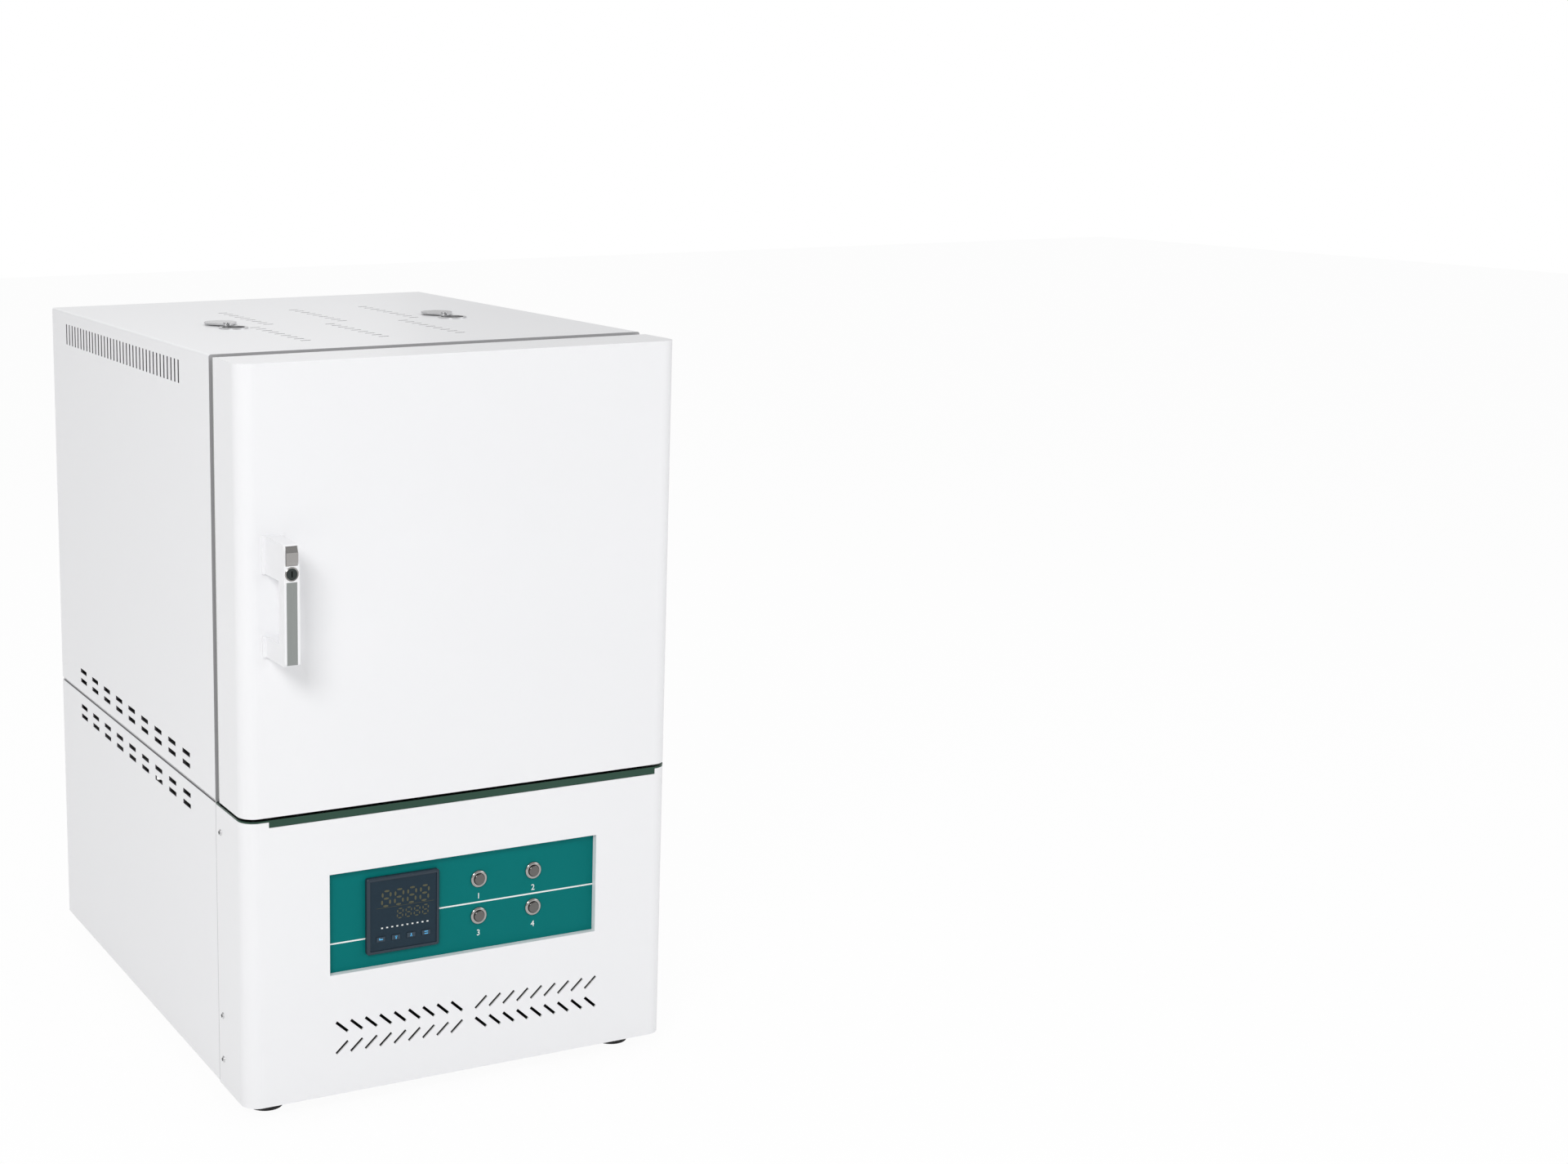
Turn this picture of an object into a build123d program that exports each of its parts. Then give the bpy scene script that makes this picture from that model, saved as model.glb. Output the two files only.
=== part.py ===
import math
import os

from build123d import *

# Floor-standing laboratory muffle furnace: a folded-sheet case in two shells, a deep
# side-hung door that carries a tapered insulating plug, and a control bay below.
# X runs across the front, Y runs to the back, Z is up; the origin is on the floor
# under the middle of the whole outline. Sizes are in millimetres.

# Case
case_w = 570.0          # width over the side walls
case_d = 636.0          # front lips to rear edge
case_h = 890.0          # underside to top sheet
foot_h = 22.0           # floor to underside of the case
sheet = 2.0             # coated sheet
bright_t = 2.0          # polished stainless sheet
bend_r = 3.0            # outside radius of the case folds
corner_r = 20.0         # big vertical bends of the door and the lower panel
sill_h = 355.5          # underside to the mirror sill
seam_gap = 0.6          # joint line between the shells
lip_w = 6.0             # front lips of the upper shell, sheet included
flange_w = 15.0         # rear flanges
tongue_l = 30.0         # joggled tongues that carry the lower panel
tongue_in = 20.0        # their length inside the lower shell
flange_up = 13.0        # upturned side flanges of the deck
deck_slot_l, deck_slot_w = 24.0, 10.0
deck_slot_n, deck_slot_pitch = 7, 60.0

# Ventilation
slot_l, slot_w = 28.0, 6.0
slot_cols, slot_pitch = 9, 53.5
slot_rows_pitch = 14.0
slots_back = -1.0       # middle of the side slots behind the middle of the case
upper_slots_up = 26.0   # side slots above the sill
lower_slots_down = 25.7
grille_n, grille_pitch = 36, 13.2
grille_slot_w, grille_h = 5.0, 28.0
grille_back = 19.5      # middle of the grille behind the middle of the case
grille_down = 31.0      # below the top sheet
top_slot_l, top_slot_w = 14.0, 5.0
top_slot_n, top_slot_pitch = 9, 21.0
top_col_pitch = 104.0
top_rear_x, top_rear_y = 7.0, 373.0
top_front_x, top_front_y = -23.0, 175.0
face_slot_l, face_slot_w = 28.0, 4.5
face_slot_n, face_slot_pitch = 9, 47.8
face_slot_rows = 9.4
face_slots_down = 24.0  # case top to the middle of the two rows
liner_slots_up = 28.0   # door bottom to the same rows in the liner
rear_slot_l, rear_slot_w = 40.0, 6.0
rear_slot_n, rear_slot_pitch = 6, 60.0
rear_slot_rows = 14.0
rear_slots_up, rear_slots_down = 180.0, 70.0
vent_x, vent_y = 155.0, 287.0
vent_bore_d = 30.0
vent_ring_d = 38.0
vent_ring_t = 1.5
vent_tube_t = 1.5
vent_tube_l = 20.0
vent_swing_r = 24.0
vent_cover_d, vent_cover_t = 42.0, 2.0
vent_ear_d = 14.0
vent_pin_d, vent_head_d, vent_head_t = 4.0, 9.0, 1.2
pin_clear = 0.05        # radial running clearance at pins and barrels
lift_clear = 0.3        # face clearance of turning and sliding pieces

# Chamber, throat and collar
chamber_w, chamber_d, chamber_r = 150.0, 185.0, 4.0
chamber_drop = 32.75    # chamber middle below the middle of the door bay
chamber_y = 75.0        # front of the chamber, from the lips
funnel_flare = 18.0     # throat wider at the mouth, on each side
collar_land = 36.0      # flat face of the collar round the mouth
collar_proud = 4.5
collar_bevel, bevel_run = 4.0, 9.0
neck_step = 9.0         # collar face over its neck
board_t = 45.0
jacket_w = 400.0
jacket_cover = 40.0     # packing over the muffle roof
jacket_back = 60.0      # packing behind the muffle
jacket_clear = 0.5
rod_d = 7.0
rod_span = 50.0         # between the two legs of an element
rod_wall = 15.0         # legs to the chamber's side wall
rod_first, rod_pitch = 31.0, 93.0
rod_up = 22.0           # bow above the chamber floor
rod_stub = 24.0         # leg above its holder
rod_clear = 0.1
hole_over = 1.0         # holes for the legs through the boards
holder_w, holder_end, holder_h = 26.0, 14.0, 22.0
holder_bevel = 2.0
probe_d, probe_tip = 8.0, 2.0
probe_reach = 89.0      # thermocouple into the chamber
probe_side, probe_up = 2.0, 13.0
head_d, head_l = 32.0, 26.0
expansion_l, expansion_w = 19.0, 2.5
expansion_in = 2.0      # expansion slots reach under the collar
cap_in = 14.0           # cap nuts beside the collar's edge lines
cap_up, cap_down = 41.0, 50.0
cap_d, cap_h = 12.0, 6.0
cap_nut_d, washer_t = 9.2, 1.4

# Door
door_t = 86.0
door_gap = 5.5          # case lips to the door rim
door_top_gap = 1.8
door_sill_gap = 3.2
liner_set = 14.0        # depth of the bright liner behind the rim
liner_proud = 8.0       # bright rim that stands out of the coated pan
hinge_out = 18.0        # reach of the hinge knuckles beside the case
hinge_r = 7.0
hinge_y = 19.0          # pin behind the front lips
hinge_pin_d = 6.0
hinge_h = 58.0
hinge_down, hinge_up = 63.0, 66.5    # hinge middles below the top and above the sill
leaf_t = 2.5
leaf_l = 42.0
leaf_air = 0.5          # door leaf clear of the case wall
knuckle_gap = 0.4
guard_t = 1.6
guard_out = 13.0
guard_foot, guard_wrap, guard_end = 30.0, 4.0, 1.0
plug_air = 5.0          # plug to throat, all round
plug_l = 56.0
plug_r = 22.0
plug_bevel = 5.0
slab_over = 6.0         # slab beyond the collar
slab_edge = 3.0
slab_clear = 1.0
seal_air = 9.5          # slab to gasket
seal_w = 7.0
seal_frame_h = 13.0
seal_clear = 0.4        # bead to face plate with the door shut
filler_gap = 44.0       # packing clear of the latch guides
filler_edge = 20.0
filler_end = 4.0

# Latch and handle
latch_x = 39.5          # strike and handle, from the case left side
strike_up = 74.0        # strike above the chamber middle
strike_neck_d, strike_head_d = 8.0, 12.0
strike_head_t, strike_bevel = 4.0, 1.5
strike_base_l, strike_base_w, strike_base_t = 38.0, 14.0, 2.5
strike_grip = 1.1       # stud head in front of the latch plate
latch_slot_w, latch_slot_h = 16.0, 26.0
plate_t = 3.0           # keyhole plate that grips the stud's neck
plate_hw = 11.0
plate_low, plate_high = 12.0, 32.0
keyhole_d = 14.0
keyhole_up = 8.0        # wide end above the neck, equal to the plate's travel
plate_air = 0.4
guide_t, guide_lip, guide_end = 5.0, 2.8, 6.0
ramp_w, ramp_seat, ramp_over = 8.0, 2.0, 0.2
handle_w = 19.0
handle_out = 61.0
thumb_proud = 2.0
bar_t = 16.0
bar_low, bar_high = 112.0, 28.0      # handle ends below and above the strike
top_post, low_post = 43.5, 24.0
handle_foot_t, handle_foot_edge = 3.0, 4.0
handle_r = 4.0
lock_down, lock_d, lock_l = 5.5, 13.0, 18.0
lock_proud = 1.0
key_slot_w, key_slot_h, key_slot_l = 1.4, 7.0, 5.0
thumb_low, thumb_h = 4.0, 22.0       # thumb piece above the strike
thumb_w, thumb_l = 14.0, 16.0
thumb_stroke = 6.0
thumb_toe, thumb_crown = 4.0, 15.0   # ends of its flat face
stem_d, stem_up = 6.0, 18.0          # push stem behind the thumb piece
stem_clear = 0.4
strip_w, strip_t = 13.0, 1.5
strip_end, strip_gap = 2.0, 9.5      # strip above the bar's end and below the lock

# Control bay
notch_left, notch_right = 32.0, 20.0
notch_h = 8.8
notch_clear = 0.5
panel_gap = 0.6
panel_top_gap = 0.3
window_w, window_h = 360.0, 126.0
window_off, window_up = 3.0, 152.0   # right of the middle, above the underside
window_set = 8.0        # teal plate behind the panel's face
plate_over = 8.0
ctrl_w, ctrl_left, ctrl_up = 96.0, 97.4, 64.2
ctrl_bezel_t, ctrl_bezel_r, ctrl_bevel = 6.0, 3.0, 1.5
ctrl_body_in, ctrl_body_l = 2.5, 72.0
ctrl_face_in, ctrl_face_set, ctrl_face_t = 4.0, 1.0, 2.0
ctrl_fit = 0.1
key_n, key_w, key_h, key_pitch, key_up = 4, 11.0, 6.0, 20.0, 34.5
key_stroke, key_proud, key_l, key_bevel = 0.8, 1.2, 2.5, 0.4
key_clear = 0.3
button_cols = (201.0, 276.0)         # from the window's left edge
button_rows = (89.7, 42.5)           # from its lower edge
bezel_d, bezel_t, bezel_bevel = 22.0, 2.5, 1.0
button_d, barrel_wall, barrel_l, barrel_end = 14.0, 1.6, 26.0, 6.0
button_stroke, button_proud, button_bevel = 3.0, 1.5, 0.8
chevron_n, chevron_pitch = 9, 19.15
chevron_off, chevron_gap = 8.05, 17.5
chevron_dx, chevron_dz, chevron_w = 15.5, 14.0, 3.6
chevron_up, chevron_rows = 72.0, 26.0
screw_d, screw_h, screw_lean = 8.0, 2.2, 25.0
screw_sides = 10
panel_screw_in = 15.0
panel_screw_ups, panel_screw_down = (35.0, 91.0), 33.5
liner_screw_in, liner_screw_down, liner_screw_up = 18.6, 90.0, 74.5
liner_screw_mid = 47.0               # third one on the left, below the strike
rear_screw_in, rear_screw_end, rear_screw_n = 9.0, 30.0, 5
gland_x, gland_up, gland_hole_d = 120.0, 70.0, 20.0
gland_bore_d, gland_nut_d, gland_cap_d = 12.0, 30.0, 24.0
gland_out, gland_nut_t, gland_in = 22.0, 7.0, 12.0
gland_fit = 0.2

# Base
foot_d, foot_in, foot_lean = 44.0, 45.0, 8.0
foot_front, foot_rear = 35.0, 51.0   # ahead of the lips, inside the rear edge
rail_w, rail_t, rail_end = 40.0, 4.0, 30.0

# Power parts in the lower bay
core_w, core_h, core_t = 150.0, 130.0, 80.0
core_leg = 39.0
core_side, core_y = 120.0, 400.0
core_base_w, core_base_l, core_base_t = 160.0, 120.0, 6.0
winding_t, winding_gap = 16.0, 1.0
module_side, module_y = 120.0, 380.0
module_w, module_l, module_base_t = 84.0, 110.0, 8.0
fin_n, fin_pitch, fin_t, fin_h = 8, 9.0, 3.0, 34.0
switch_w, switch_l, switch_h = 70.0, 92.0, 26.0

# Datums
front_reach = door_gap + door_t + handle_out
xc = -(hinge_out - screw_h) / 2    # hinges reach out on the right, screw heads on the left
xl, xr = xc - case_w / 2, xc + case_w / 2
yf = front_reach - (front_reach + case_d + gland_out) / 2
yr = yf + case_d
zb = foot_h
zs = zb + sill_h
zt = zb + case_h
rim_y = yf - door_gap
door_y = rim_y - door_t
face_y = yf + sheet                # front of the mirror face plate
liner_y = rim_y - liner_set
zc = (zs + zt) / 2 - chamber_drop
half = chamber_w / 2
outer = half + board_t
cham_y0, cham_y1 = yf + chamber_y, yf + chamber_y + chamber_d
funnel_w = chamber_w + 2 * funnel_flare
collar_w = funnel_w + 2 * collar_land
neck_w = collar_w - 2 * neck_step
slab_w = collar_w + 2 * slab_over
seal_out = slab_w + 2 * (seal_air + seal_w)
collar_y = yf - collar_proud
throat_lean = math.degrees(math.atan(funnel_flare / (cham_y0 - collar_y)))
lower_top = zs - seam_gap / 2
upper_low = zs + seam_gap / 2
latch_gx = xl + latch_x
sgz = zc + strike_up
latch_y0 = liner_y - bright_t - plate_air - plate_t
wx0, wx1 = xc + window_off - window_w / 2, xc + window_off + window_w / 2
wz0, wz1 = zb + window_up, zb + window_up + window_h
plate_y = door_y + window_set


def front(y):
    """Sketch plane at depth y seen from the front: x is X, y is Z."""
    return Plane.XZ.offset(-y)


def span(a0, a1, b0, b1, mode=Mode.ADD):
    """Rectangle between two pairs of limits."""
    with Locations(((a0 + a1) / 2, (b0 + b1) / 2)):
        Rectangle(a1 - a0, b1 - b0, mode=mode)


os.makedirs("parts", exist_ok=True)
made = []


def keep(piece, name):
    piece.part.label = name
    made.append(name)
    export_step(piece.part, "parts/" + name + ".step")


# Upper shell: inverted U with front lips, rear flanges and every slot
vent_bores = [(xc + side * vent_x, yf + vent_y - vent_swing_r) for side in (-1, 1)]
vent_pins = [(xc + side * vent_x, yf + vent_y) for side in (-1, 1)]
vent_tube_r = vent_bore_d / 2 + vent_tube_t
with BuildPart() as upper_case:
    with BuildSketch(front(yf)) as upper_outline:
        span(xl, xr, upper_low, zt)
        fillet(upper_outline.vertices().group_by(Axis.Z)[-1], bend_r)
        span(xl + sheet, xr - sheet, upper_low - 1, zt - sheet, Mode.SUBTRACT)
    extrude(amount=-case_d)
    with BuildSketch(front(yf)):
        span(xl + sheet, xl + lip_w, upper_low, zt - sheet)
        span(xr - lip_w, xr - sheet, upper_low, zt - sheet)
        span(xl + lip_w, xr - lip_w, zt - lip_w, zt - sheet)
    extrude(amount=-sheet)
    with BuildSketch(front(yr - 2 * sheet)):
        span(xl + sheet, xl + flange_w, upper_low, zt - sheet)
        span(xr - flange_w, xr - sheet, upper_low, zt - sheet)
        span(xl + flange_w, xr - flange_w, zt - flange_w, zt - sheet)
    extrude(amount=-sheet)
    with BuildSketch(Plane.YZ.offset(xl - 1)):
        with Locations((yf + case_d / 2 + slots_back, zs + upper_slots_up)):
            with GridLocations(slot_pitch, slot_rows_pitch, slot_cols, 2):
                Rectangle(slot_l, slot_w)
        with Locations((yf + case_d / 2 + grille_back, zt - grille_down)):
            with GridLocations(grille_pitch, 1, grille_n, 1):
                Rectangle(grille_slot_w, grille_h)
    extrude(amount=case_w + 2, mode=Mode.SUBTRACT)
    with BuildSketch(Plane.XY.offset(zt - sheet)):
        with Locations((xc + top_rear_x, yf + top_rear_y), (xc + top_front_x, yf + top_front_y)):
            with GridLocations(top_col_pitch, top_slot_pitch, 3, top_slot_n):
                Rectangle(top_slot_l, top_slot_w)
        with Locations(*vent_bores):
            Circle(vent_tube_r)
    extrude(amount=sheet, mode=Mode.SUBTRACT)
keep(upper_case, "upper_case")

# Lower shell: U tray with the nose floor and the tongues behind the lower panel
with BuildPart() as lower_case:
    with BuildSketch(front(yf)) as lower_outline:
        span(xl, xr, zb, lower_top)
        fillet(lower_outline.vertices().group_by(Axis.Z)[0], bend_r)
        span(xl + sheet, xr - sheet, zb + sheet, lower_top + 1, Mode.SUBTRACT)
    extrude(amount=-case_d)
    with BuildSketch(front(yr - 2 * sheet)):
        span(xl + sheet, xl + flange_w, zb + sheet, lower_top)
        span(xr - flange_w, xr - sheet, zb + sheet, lower_top)
        span(xl + flange_w, xr - flange_w, zb + sheet, zb + flange_w)
    extrude(amount=-sheet)
    with BuildSketch(Plane.XY.offset(zb)) as nose_floor:
        span(xl + sheet, xr - sheet, door_y + sheet, yf + sheet)
        fillet(nose_floor.vertices().group_by(Axis.Y)[0], corner_r - sheet)
    extrude(amount=sheet)
    with BuildSketch(front(yf - tongue_l)):
        span(xl + sheet, xl + 2 * sheet, zb + sheet, zs - bright_t)
        span(xr - 2 * sheet, xr - sheet, zb + sheet, zs - bright_t)
    extrude(amount=-(tongue_l + tongue_in))
    with BuildSketch(Plane.YZ.offset(xl - 1)):
        with Locations((yf + case_d / 2 + slots_back, zs - lower_slots_down)):
            with GridLocations(slot_pitch, slot_rows_pitch, slot_cols, 2):
                Rectangle(slot_l, slot_w)
    extrude(amount=case_w + 2, mode=Mode.SUBTRACT)
keep(lower_case, "lower_case")

# Deck between the shells, with upturned side flanges and air slots beside the packing
deck_slot_x = (case_w + jacket_w) / 4 - sheet
with BuildPart() as deck_plate:
    with BuildSketch(Plane.XY.offset(zs - bright_t)):
        span(xl + sheet, xr - sheet, yf, yr - 2 * sheet)
        with Locations((xc, yf + case_d / 2)):
            with GridLocations(2 * deck_slot_x, deck_slot_pitch, 2, deck_slot_n):
                Rectangle(deck_slot_l, deck_slot_w, mode=Mode.SUBTRACT)
    extrude(amount=bright_t)
    with BuildSketch(front(face_y + 2 * bright_t)):
        span(xl + sheet, xl + 2 * sheet, zs, zs + flange_up)
        span(xr - 2 * sheet, xr - sheet, zs, zs + flange_up)
    extrude(amount=-(yr - 3 * sheet - face_y - 2 * bright_t))
keep(deck_plate, "deck_plate")

# Mirror sill: rounded nose and a lip that drops into the panel's notch
with BuildPart() as sill_plate:
    with BuildSketch(Plane.XY.offset(zs - bright_t)) as sill_outline:
        span(xl, xr, door_y, yf)
        fillet(sill_outline.vertices().group_by(Axis.Y)[0], corner_r)
    extrude(amount=bright_t)
    with BuildSketch(front(door_y)):
        span(xl + notch_left + notch_clear, xr - notch_right - notch_clear, zs - notch_h, zs)
    extrude(amount=-bright_t)
keep(sill_plate, "sill_plate")

# Lower panel: one sheet bent round both corners, with a returned window and a louvre
with BuildPart() as front_panel:
    with BuildSketch(Plane.XY.offset(zb)) as panel_plan:
        span(xl, xr, door_y, yf - panel_gap)
        fillet(panel_plan.vertices().group_by(Axis.Y)[0], corner_r)
        with BuildSketch(mode=Mode.SUBTRACT) as panel_hollow:
            span(xl + sheet, xr - sheet, door_y + sheet, yf + 1)
            fillet(panel_hollow.vertices().group_by(Axis.Y)[0], corner_r - sheet)
    extrude(amount=sill_h - bright_t - panel_top_gap)
    with BuildSketch(front(door_y)):
        span(xl + notch_left, xr - notch_right, zs - notch_h - notch_clear, zs)
    extrude(amount=-(sheet + panel_gap), mode=Mode.SUBTRACT)
    with BuildSketch(front(door_y + sheet)):
        span(wx0 - sheet, wx1 + sheet, wz0 - sheet, wz1 + sheet)
    extrude(amount=-(window_set - sheet))
    with BuildSketch(front(door_y)):
        span(wx0, wx1, wz0, wz1)
    extrude(amount=-(window_set + 1), mode=Mode.SUBTRACT)
    slant = math.degrees(math.atan2(chevron_dz, chevron_dx))
    block_w = chevron_pitch * (chevron_n - 1) + chevron_dx
    with BuildSketch(front(door_y)):
        for block in (-1, 1):
            for row in (-1, 1):
                block_x = xc + chevron_off + block * (chevron_gap + block_w) / 2
                with Locations((block_x, zb + chevron_up + row * chevron_rows / 2)):
                    with GridLocations(chevron_pitch, 1, chevron_n, 1):
                        Rectangle(math.hypot(chevron_dx, chevron_dz), chevron_w,
                                  rotation=block * row * slant)
    extrude(amount=-sheet, mode=Mode.SUBTRACT)
keep(front_panel, "front_panel")

# Control plate behind the window
ctrl_gx, ctrl_gz = wx0 + ctrl_left, wz0 + ctrl_up
ctrl_body_w = ctrl_w - 2 * ctrl_body_in
button_spots = [(wx0 + col, wz0 + row) for row in button_rows for col in button_cols]
barrel_r = button_d / 2 + barrel_wall
with BuildPart() as control_plate:
    with BuildSketch(front(plate_y)):
        span(wx0 - plate_over, wx1 + plate_over, wz0 - plate_over, wz1 + plate_over)
        with Locations((ctrl_gx, ctrl_gz)):
            Rectangle(ctrl_body_w, ctrl_body_w, mode=Mode.SUBTRACT)
        with Locations(*button_spots):
            RegularPolygon(barrel_r, 8, mode=Mode.SUBTRACT)
    extrude(amount=-sheet)
keep(control_plate, "control_plate")

# Temperature controller: housing with its bezel, dark window and four keys
key_gz = wz0 + key_up
ctrl_front = plate_y - ctrl_bezel_t
ctrl_face_w = ctrl_w - 2 * ctrl_face_in
ctrl_pocket = ctrl_face_set + ctrl_face_t
with BuildPart() as controller_housing:
    with BuildSketch(front(plate_y)):
        with Locations((ctrl_gx, ctrl_gz)):
            Rectangle(ctrl_body_w, ctrl_body_w)
    extrude(amount=-ctrl_body_l)
    with BuildSketch(front(plate_y)):
        with Locations((ctrl_gx, ctrl_gz)):
            RectangleRounded(ctrl_w, ctrl_w, ctrl_bezel_r)
    extrude(amount=ctrl_bezel_t)
    chamfer(controller_housing.faces().sort_by(Axis.Y)[0].outer_wire().edges(), ctrl_bevel)
    with BuildSketch(front(ctrl_front)):
        with Locations((ctrl_gx, ctrl_gz)):
            Rectangle(ctrl_face_w + 2 * ctrl_fit, ctrl_face_w + 2 * ctrl_fit)
    extrude(amount=-ctrl_pocket, mode=Mode.SUBTRACT)
    with BuildSketch(front(ctrl_front)):
        with Locations((ctrl_gx, key_gz)):
            with GridLocations(key_pitch, 1, key_n, 1):
                Rectangle(key_w + 2 * key_clear, key_h + 2 * key_clear)
    extrude(amount=-(ctrl_face_set + key_l + key_stroke + key_clear), mode=Mode.SUBTRACT)
keep(controller_housing, "controller_housing")

with BuildPart() as controller_face:
    with BuildSketch(front(ctrl_front + ctrl_face_set)):
        with Locations((ctrl_gx, ctrl_gz)):
            Rectangle(ctrl_face_w, ctrl_face_w)
        with Locations((ctrl_gx, key_gz)):
            with GridLocations(key_pitch, 1, key_n, 1):
                Rectangle(key_w + 2 * key_clear, key_h + 2 * key_clear, mode=Mode.SUBTRACT)
    extrude(amount=-ctrl_face_t)
keep(controller_face, "controller_face")

for index in range(key_n):
    with BuildPart() as key:
        with BuildSketch(front(ctrl_front + ctrl_face_set - key_proud)):
            with Locations((ctrl_gx + (index - (key_n - 1) / 2) * key_pitch, key_gz)):
                Rectangle(key_w, key_h)
        extrude(amount=-(key_proud + key_l))
        chamfer(key.faces().sort_by(Axis.Y)[0].edges(), key_bevel)
    keep(key, "key_" + str(index + 1))

# Metal push-buttons: bezels on flatted barrels, and sprung caps
barrel_floor = plate_y + barrel_l - barrel_end
with BuildPart() as button_bezels:
    with BuildSketch(front(plate_y)):
        with Locations(*button_spots):
            Circle(bezel_d / 2)
    extrude(amount=bezel_t)
    chamfer(button_bezels.faces().group_by(Axis.Y)[0].edges(), bezel_bevel)
    with BuildSketch(front(plate_y)):
        with Locations(*button_spots):
            RegularPolygon(barrel_r, 8)
    extrude(amount=-barrel_l)
    with BuildSketch(front(plate_y - bezel_t)):
        with Locations(*button_spots):
            Circle(button_d / 2 + pin_clear)
    extrude(amount=-(barrel_floor - plate_y + bezel_t), mode=Mode.SUBTRACT)
keep(button_bezels, "button_bezels")

for index, spot in enumerate(button_spots):
    with BuildPart() as button:
        with BuildSketch(front(plate_y - bezel_t - button_proud)):
            with Locations(spot):
                Circle(button_d / 2)
        extrude(amount=-(barrel_floor - button_stroke - plate_air - plate_y + bezel_t + button_proud))
        chamfer(button.faces().sort_by(Axis.Y)[0].edges(), button_bevel)
    keep(button, "button_" + str(index + 1))

# Rear cover with louvres, and the cable gland
with BuildPart() as rear_cover:
    with BuildSketch(front(yr - sheet)):
        span(xl + sheet, xr - sheet, zb + sheet, zt - sheet)
        with Locations((xc, zb + rear_slots_up), (xc, zt - rear_slots_down)):
            with GridLocations(rear_slot_pitch, rear_slot_rows, rear_slot_n, 2):
                Rectangle(rear_slot_l, rear_slot_w, mode=Mode.SUBTRACT)
        with Locations((xc + gland_x, zb + gland_up)):
            Circle(gland_hole_d / 2, mode=Mode.SUBTRACT)
    extrude(amount=-sheet)
keep(rear_cover, "rear_cover")

with BuildPart() as cable_gland:
    for start, reach, width, sides in ((yr - gland_in, gland_in, gland_hole_d - gland_fit, 8),
                                       (yr, gland_nut_t, gland_nut_d, 6),
                                       (yr + gland_nut_t, gland_out - gland_nut_t, gland_cap_d, 6)):
        with BuildSketch(front(start)):
            with Locations((xc + gland_x, zb + gland_up)):
                RegularPolygon(width / 2, sides)
        extrude(amount=-reach)
    with BuildSketch(front(yr - gland_in)):
        with Locations((xc + gland_x, zb + gland_up)):
            Circle(gland_bore_d / 2)
    extrude(amount=-(gland_in + gland_out), mode=Mode.SUBTRACT)
keep(cable_gland, "cable_gland")

# Base rails and feet
foot_ys = (yf - foot_front, yr - foot_rear)
foot_spots = [(x, y) for x in (xl + foot_in, xr - foot_in) for y in foot_ys]
with BuildPart() as base_rails:
    with BuildSketch(Plane.XY.offset(zb - rail_t)):
        for gx in (xl + foot_in, xr - foot_in):
            span(gx - rail_w / 2, gx + rail_w / 2, foot_ys[0] - rail_end, foot_ys[1] + rail_end)
    extrude(amount=rail_t)
keep(base_rails, "base_rails")

with BuildPart() as feet:
    with BuildSketch():
        with Locations(*foot_spots):
            Circle(foot_d / 2)
    extrude(amount=zb - rail_t, taper=foot_lean)
keep(feet, "feet")

# Mirror face plate with expansion slots at the collar, and its cap nuts
with BuildPart() as face_plate:
    with BuildSketch(front(face_y)):
        span(xl + sheet, xr - sheet, zs, zt - sheet)
        with Locations((xc, zc)):
            Rectangle(neck_w, neck_w, mode=Mode.SUBTRACT)
            straight = collar_w / 2 + expansion_l / 2 - expansion_in
            with Locations((straight, 0), (-straight, 0)):
                Rectangle(expansion_l, expansion_w, mode=Mode.SUBTRACT)
            with Locations((0, straight), (0, -straight)):
                Rectangle(expansion_w, expansion_l, mode=Mode.SUBTRACT)
            diag = collar_w / 2 + expansion_l * math.cos(math.radians(45)) / 2 - expansion_in
            for lean in (45, -45):
                with Locations((diag, math.copysign(diag, lean)), (-diag, -math.copysign(diag, lean))):
                    Rectangle(expansion_l, expansion_w, rotation=lean, mode=Mode.SUBTRACT)
        with Locations((xc, zt - face_slots_down)):
            with GridLocations(face_slot_pitch, face_slot_rows, face_slot_n, 2):
                Rectangle(face_slot_l, face_slot_w, mode=Mode.SUBTRACT)
    extrude(amount=-bright_t)
keep(face_plate, "face_plate")

cap_x = collar_w / 2 + cap_in
cap_spots = [(xc + side * cap_x, zc + rise) for side in (-1, 1)
             for rise in (collar_w / 2 + cap_up, -collar_w / 2 - cap_down)]
with BuildPart() as face_screws:
    with BuildSketch(front(face_y)):
        with Locations(*cap_spots):
            RegularPolygon(cap_d / 2, 12)
    extrude(amount=washer_t)
    with BuildSketch(front(face_y - washer_t)):
        with Locations(*cap_spots):
            RegularPolygon(cap_nut_d / 2, 6)
    extrude(amount=cap_h - washer_t)
    chamfer(face_screws.faces().group_by(Axis.Y)[0].edges(), cap_nut_d / 6)
keep(face_screws, "face_screws")

# Strike: plate with a mushroom stud
strike_l = face_y - latch_y0 + strike_grip + strike_head_t
with BuildPart() as strike:
    with BuildSketch(front(face_y)):
        with Locations((latch_gx, sgz)):
            SlotOverall(strike_base_l, strike_base_w)
    extrude(amount=strike_base_t)
    with BuildSketch(front(face_y - strike_base_t)):
        with Locations((latch_gx, sgz)):
            Circle(strike_neck_d / 2)
    extrude(amount=strike_l - strike_base_t)
    with BuildSketch(front(face_y - strike_l)):
        with Locations((latch_gx, sgz)):
            Circle(strike_head_d / 2)
    extrude(amount=-strike_head_t)
    chamfer(strike.faces().sort_by(Axis.Y)[0].edges(), strike_bevel)
keep(strike, "strike")

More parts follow.
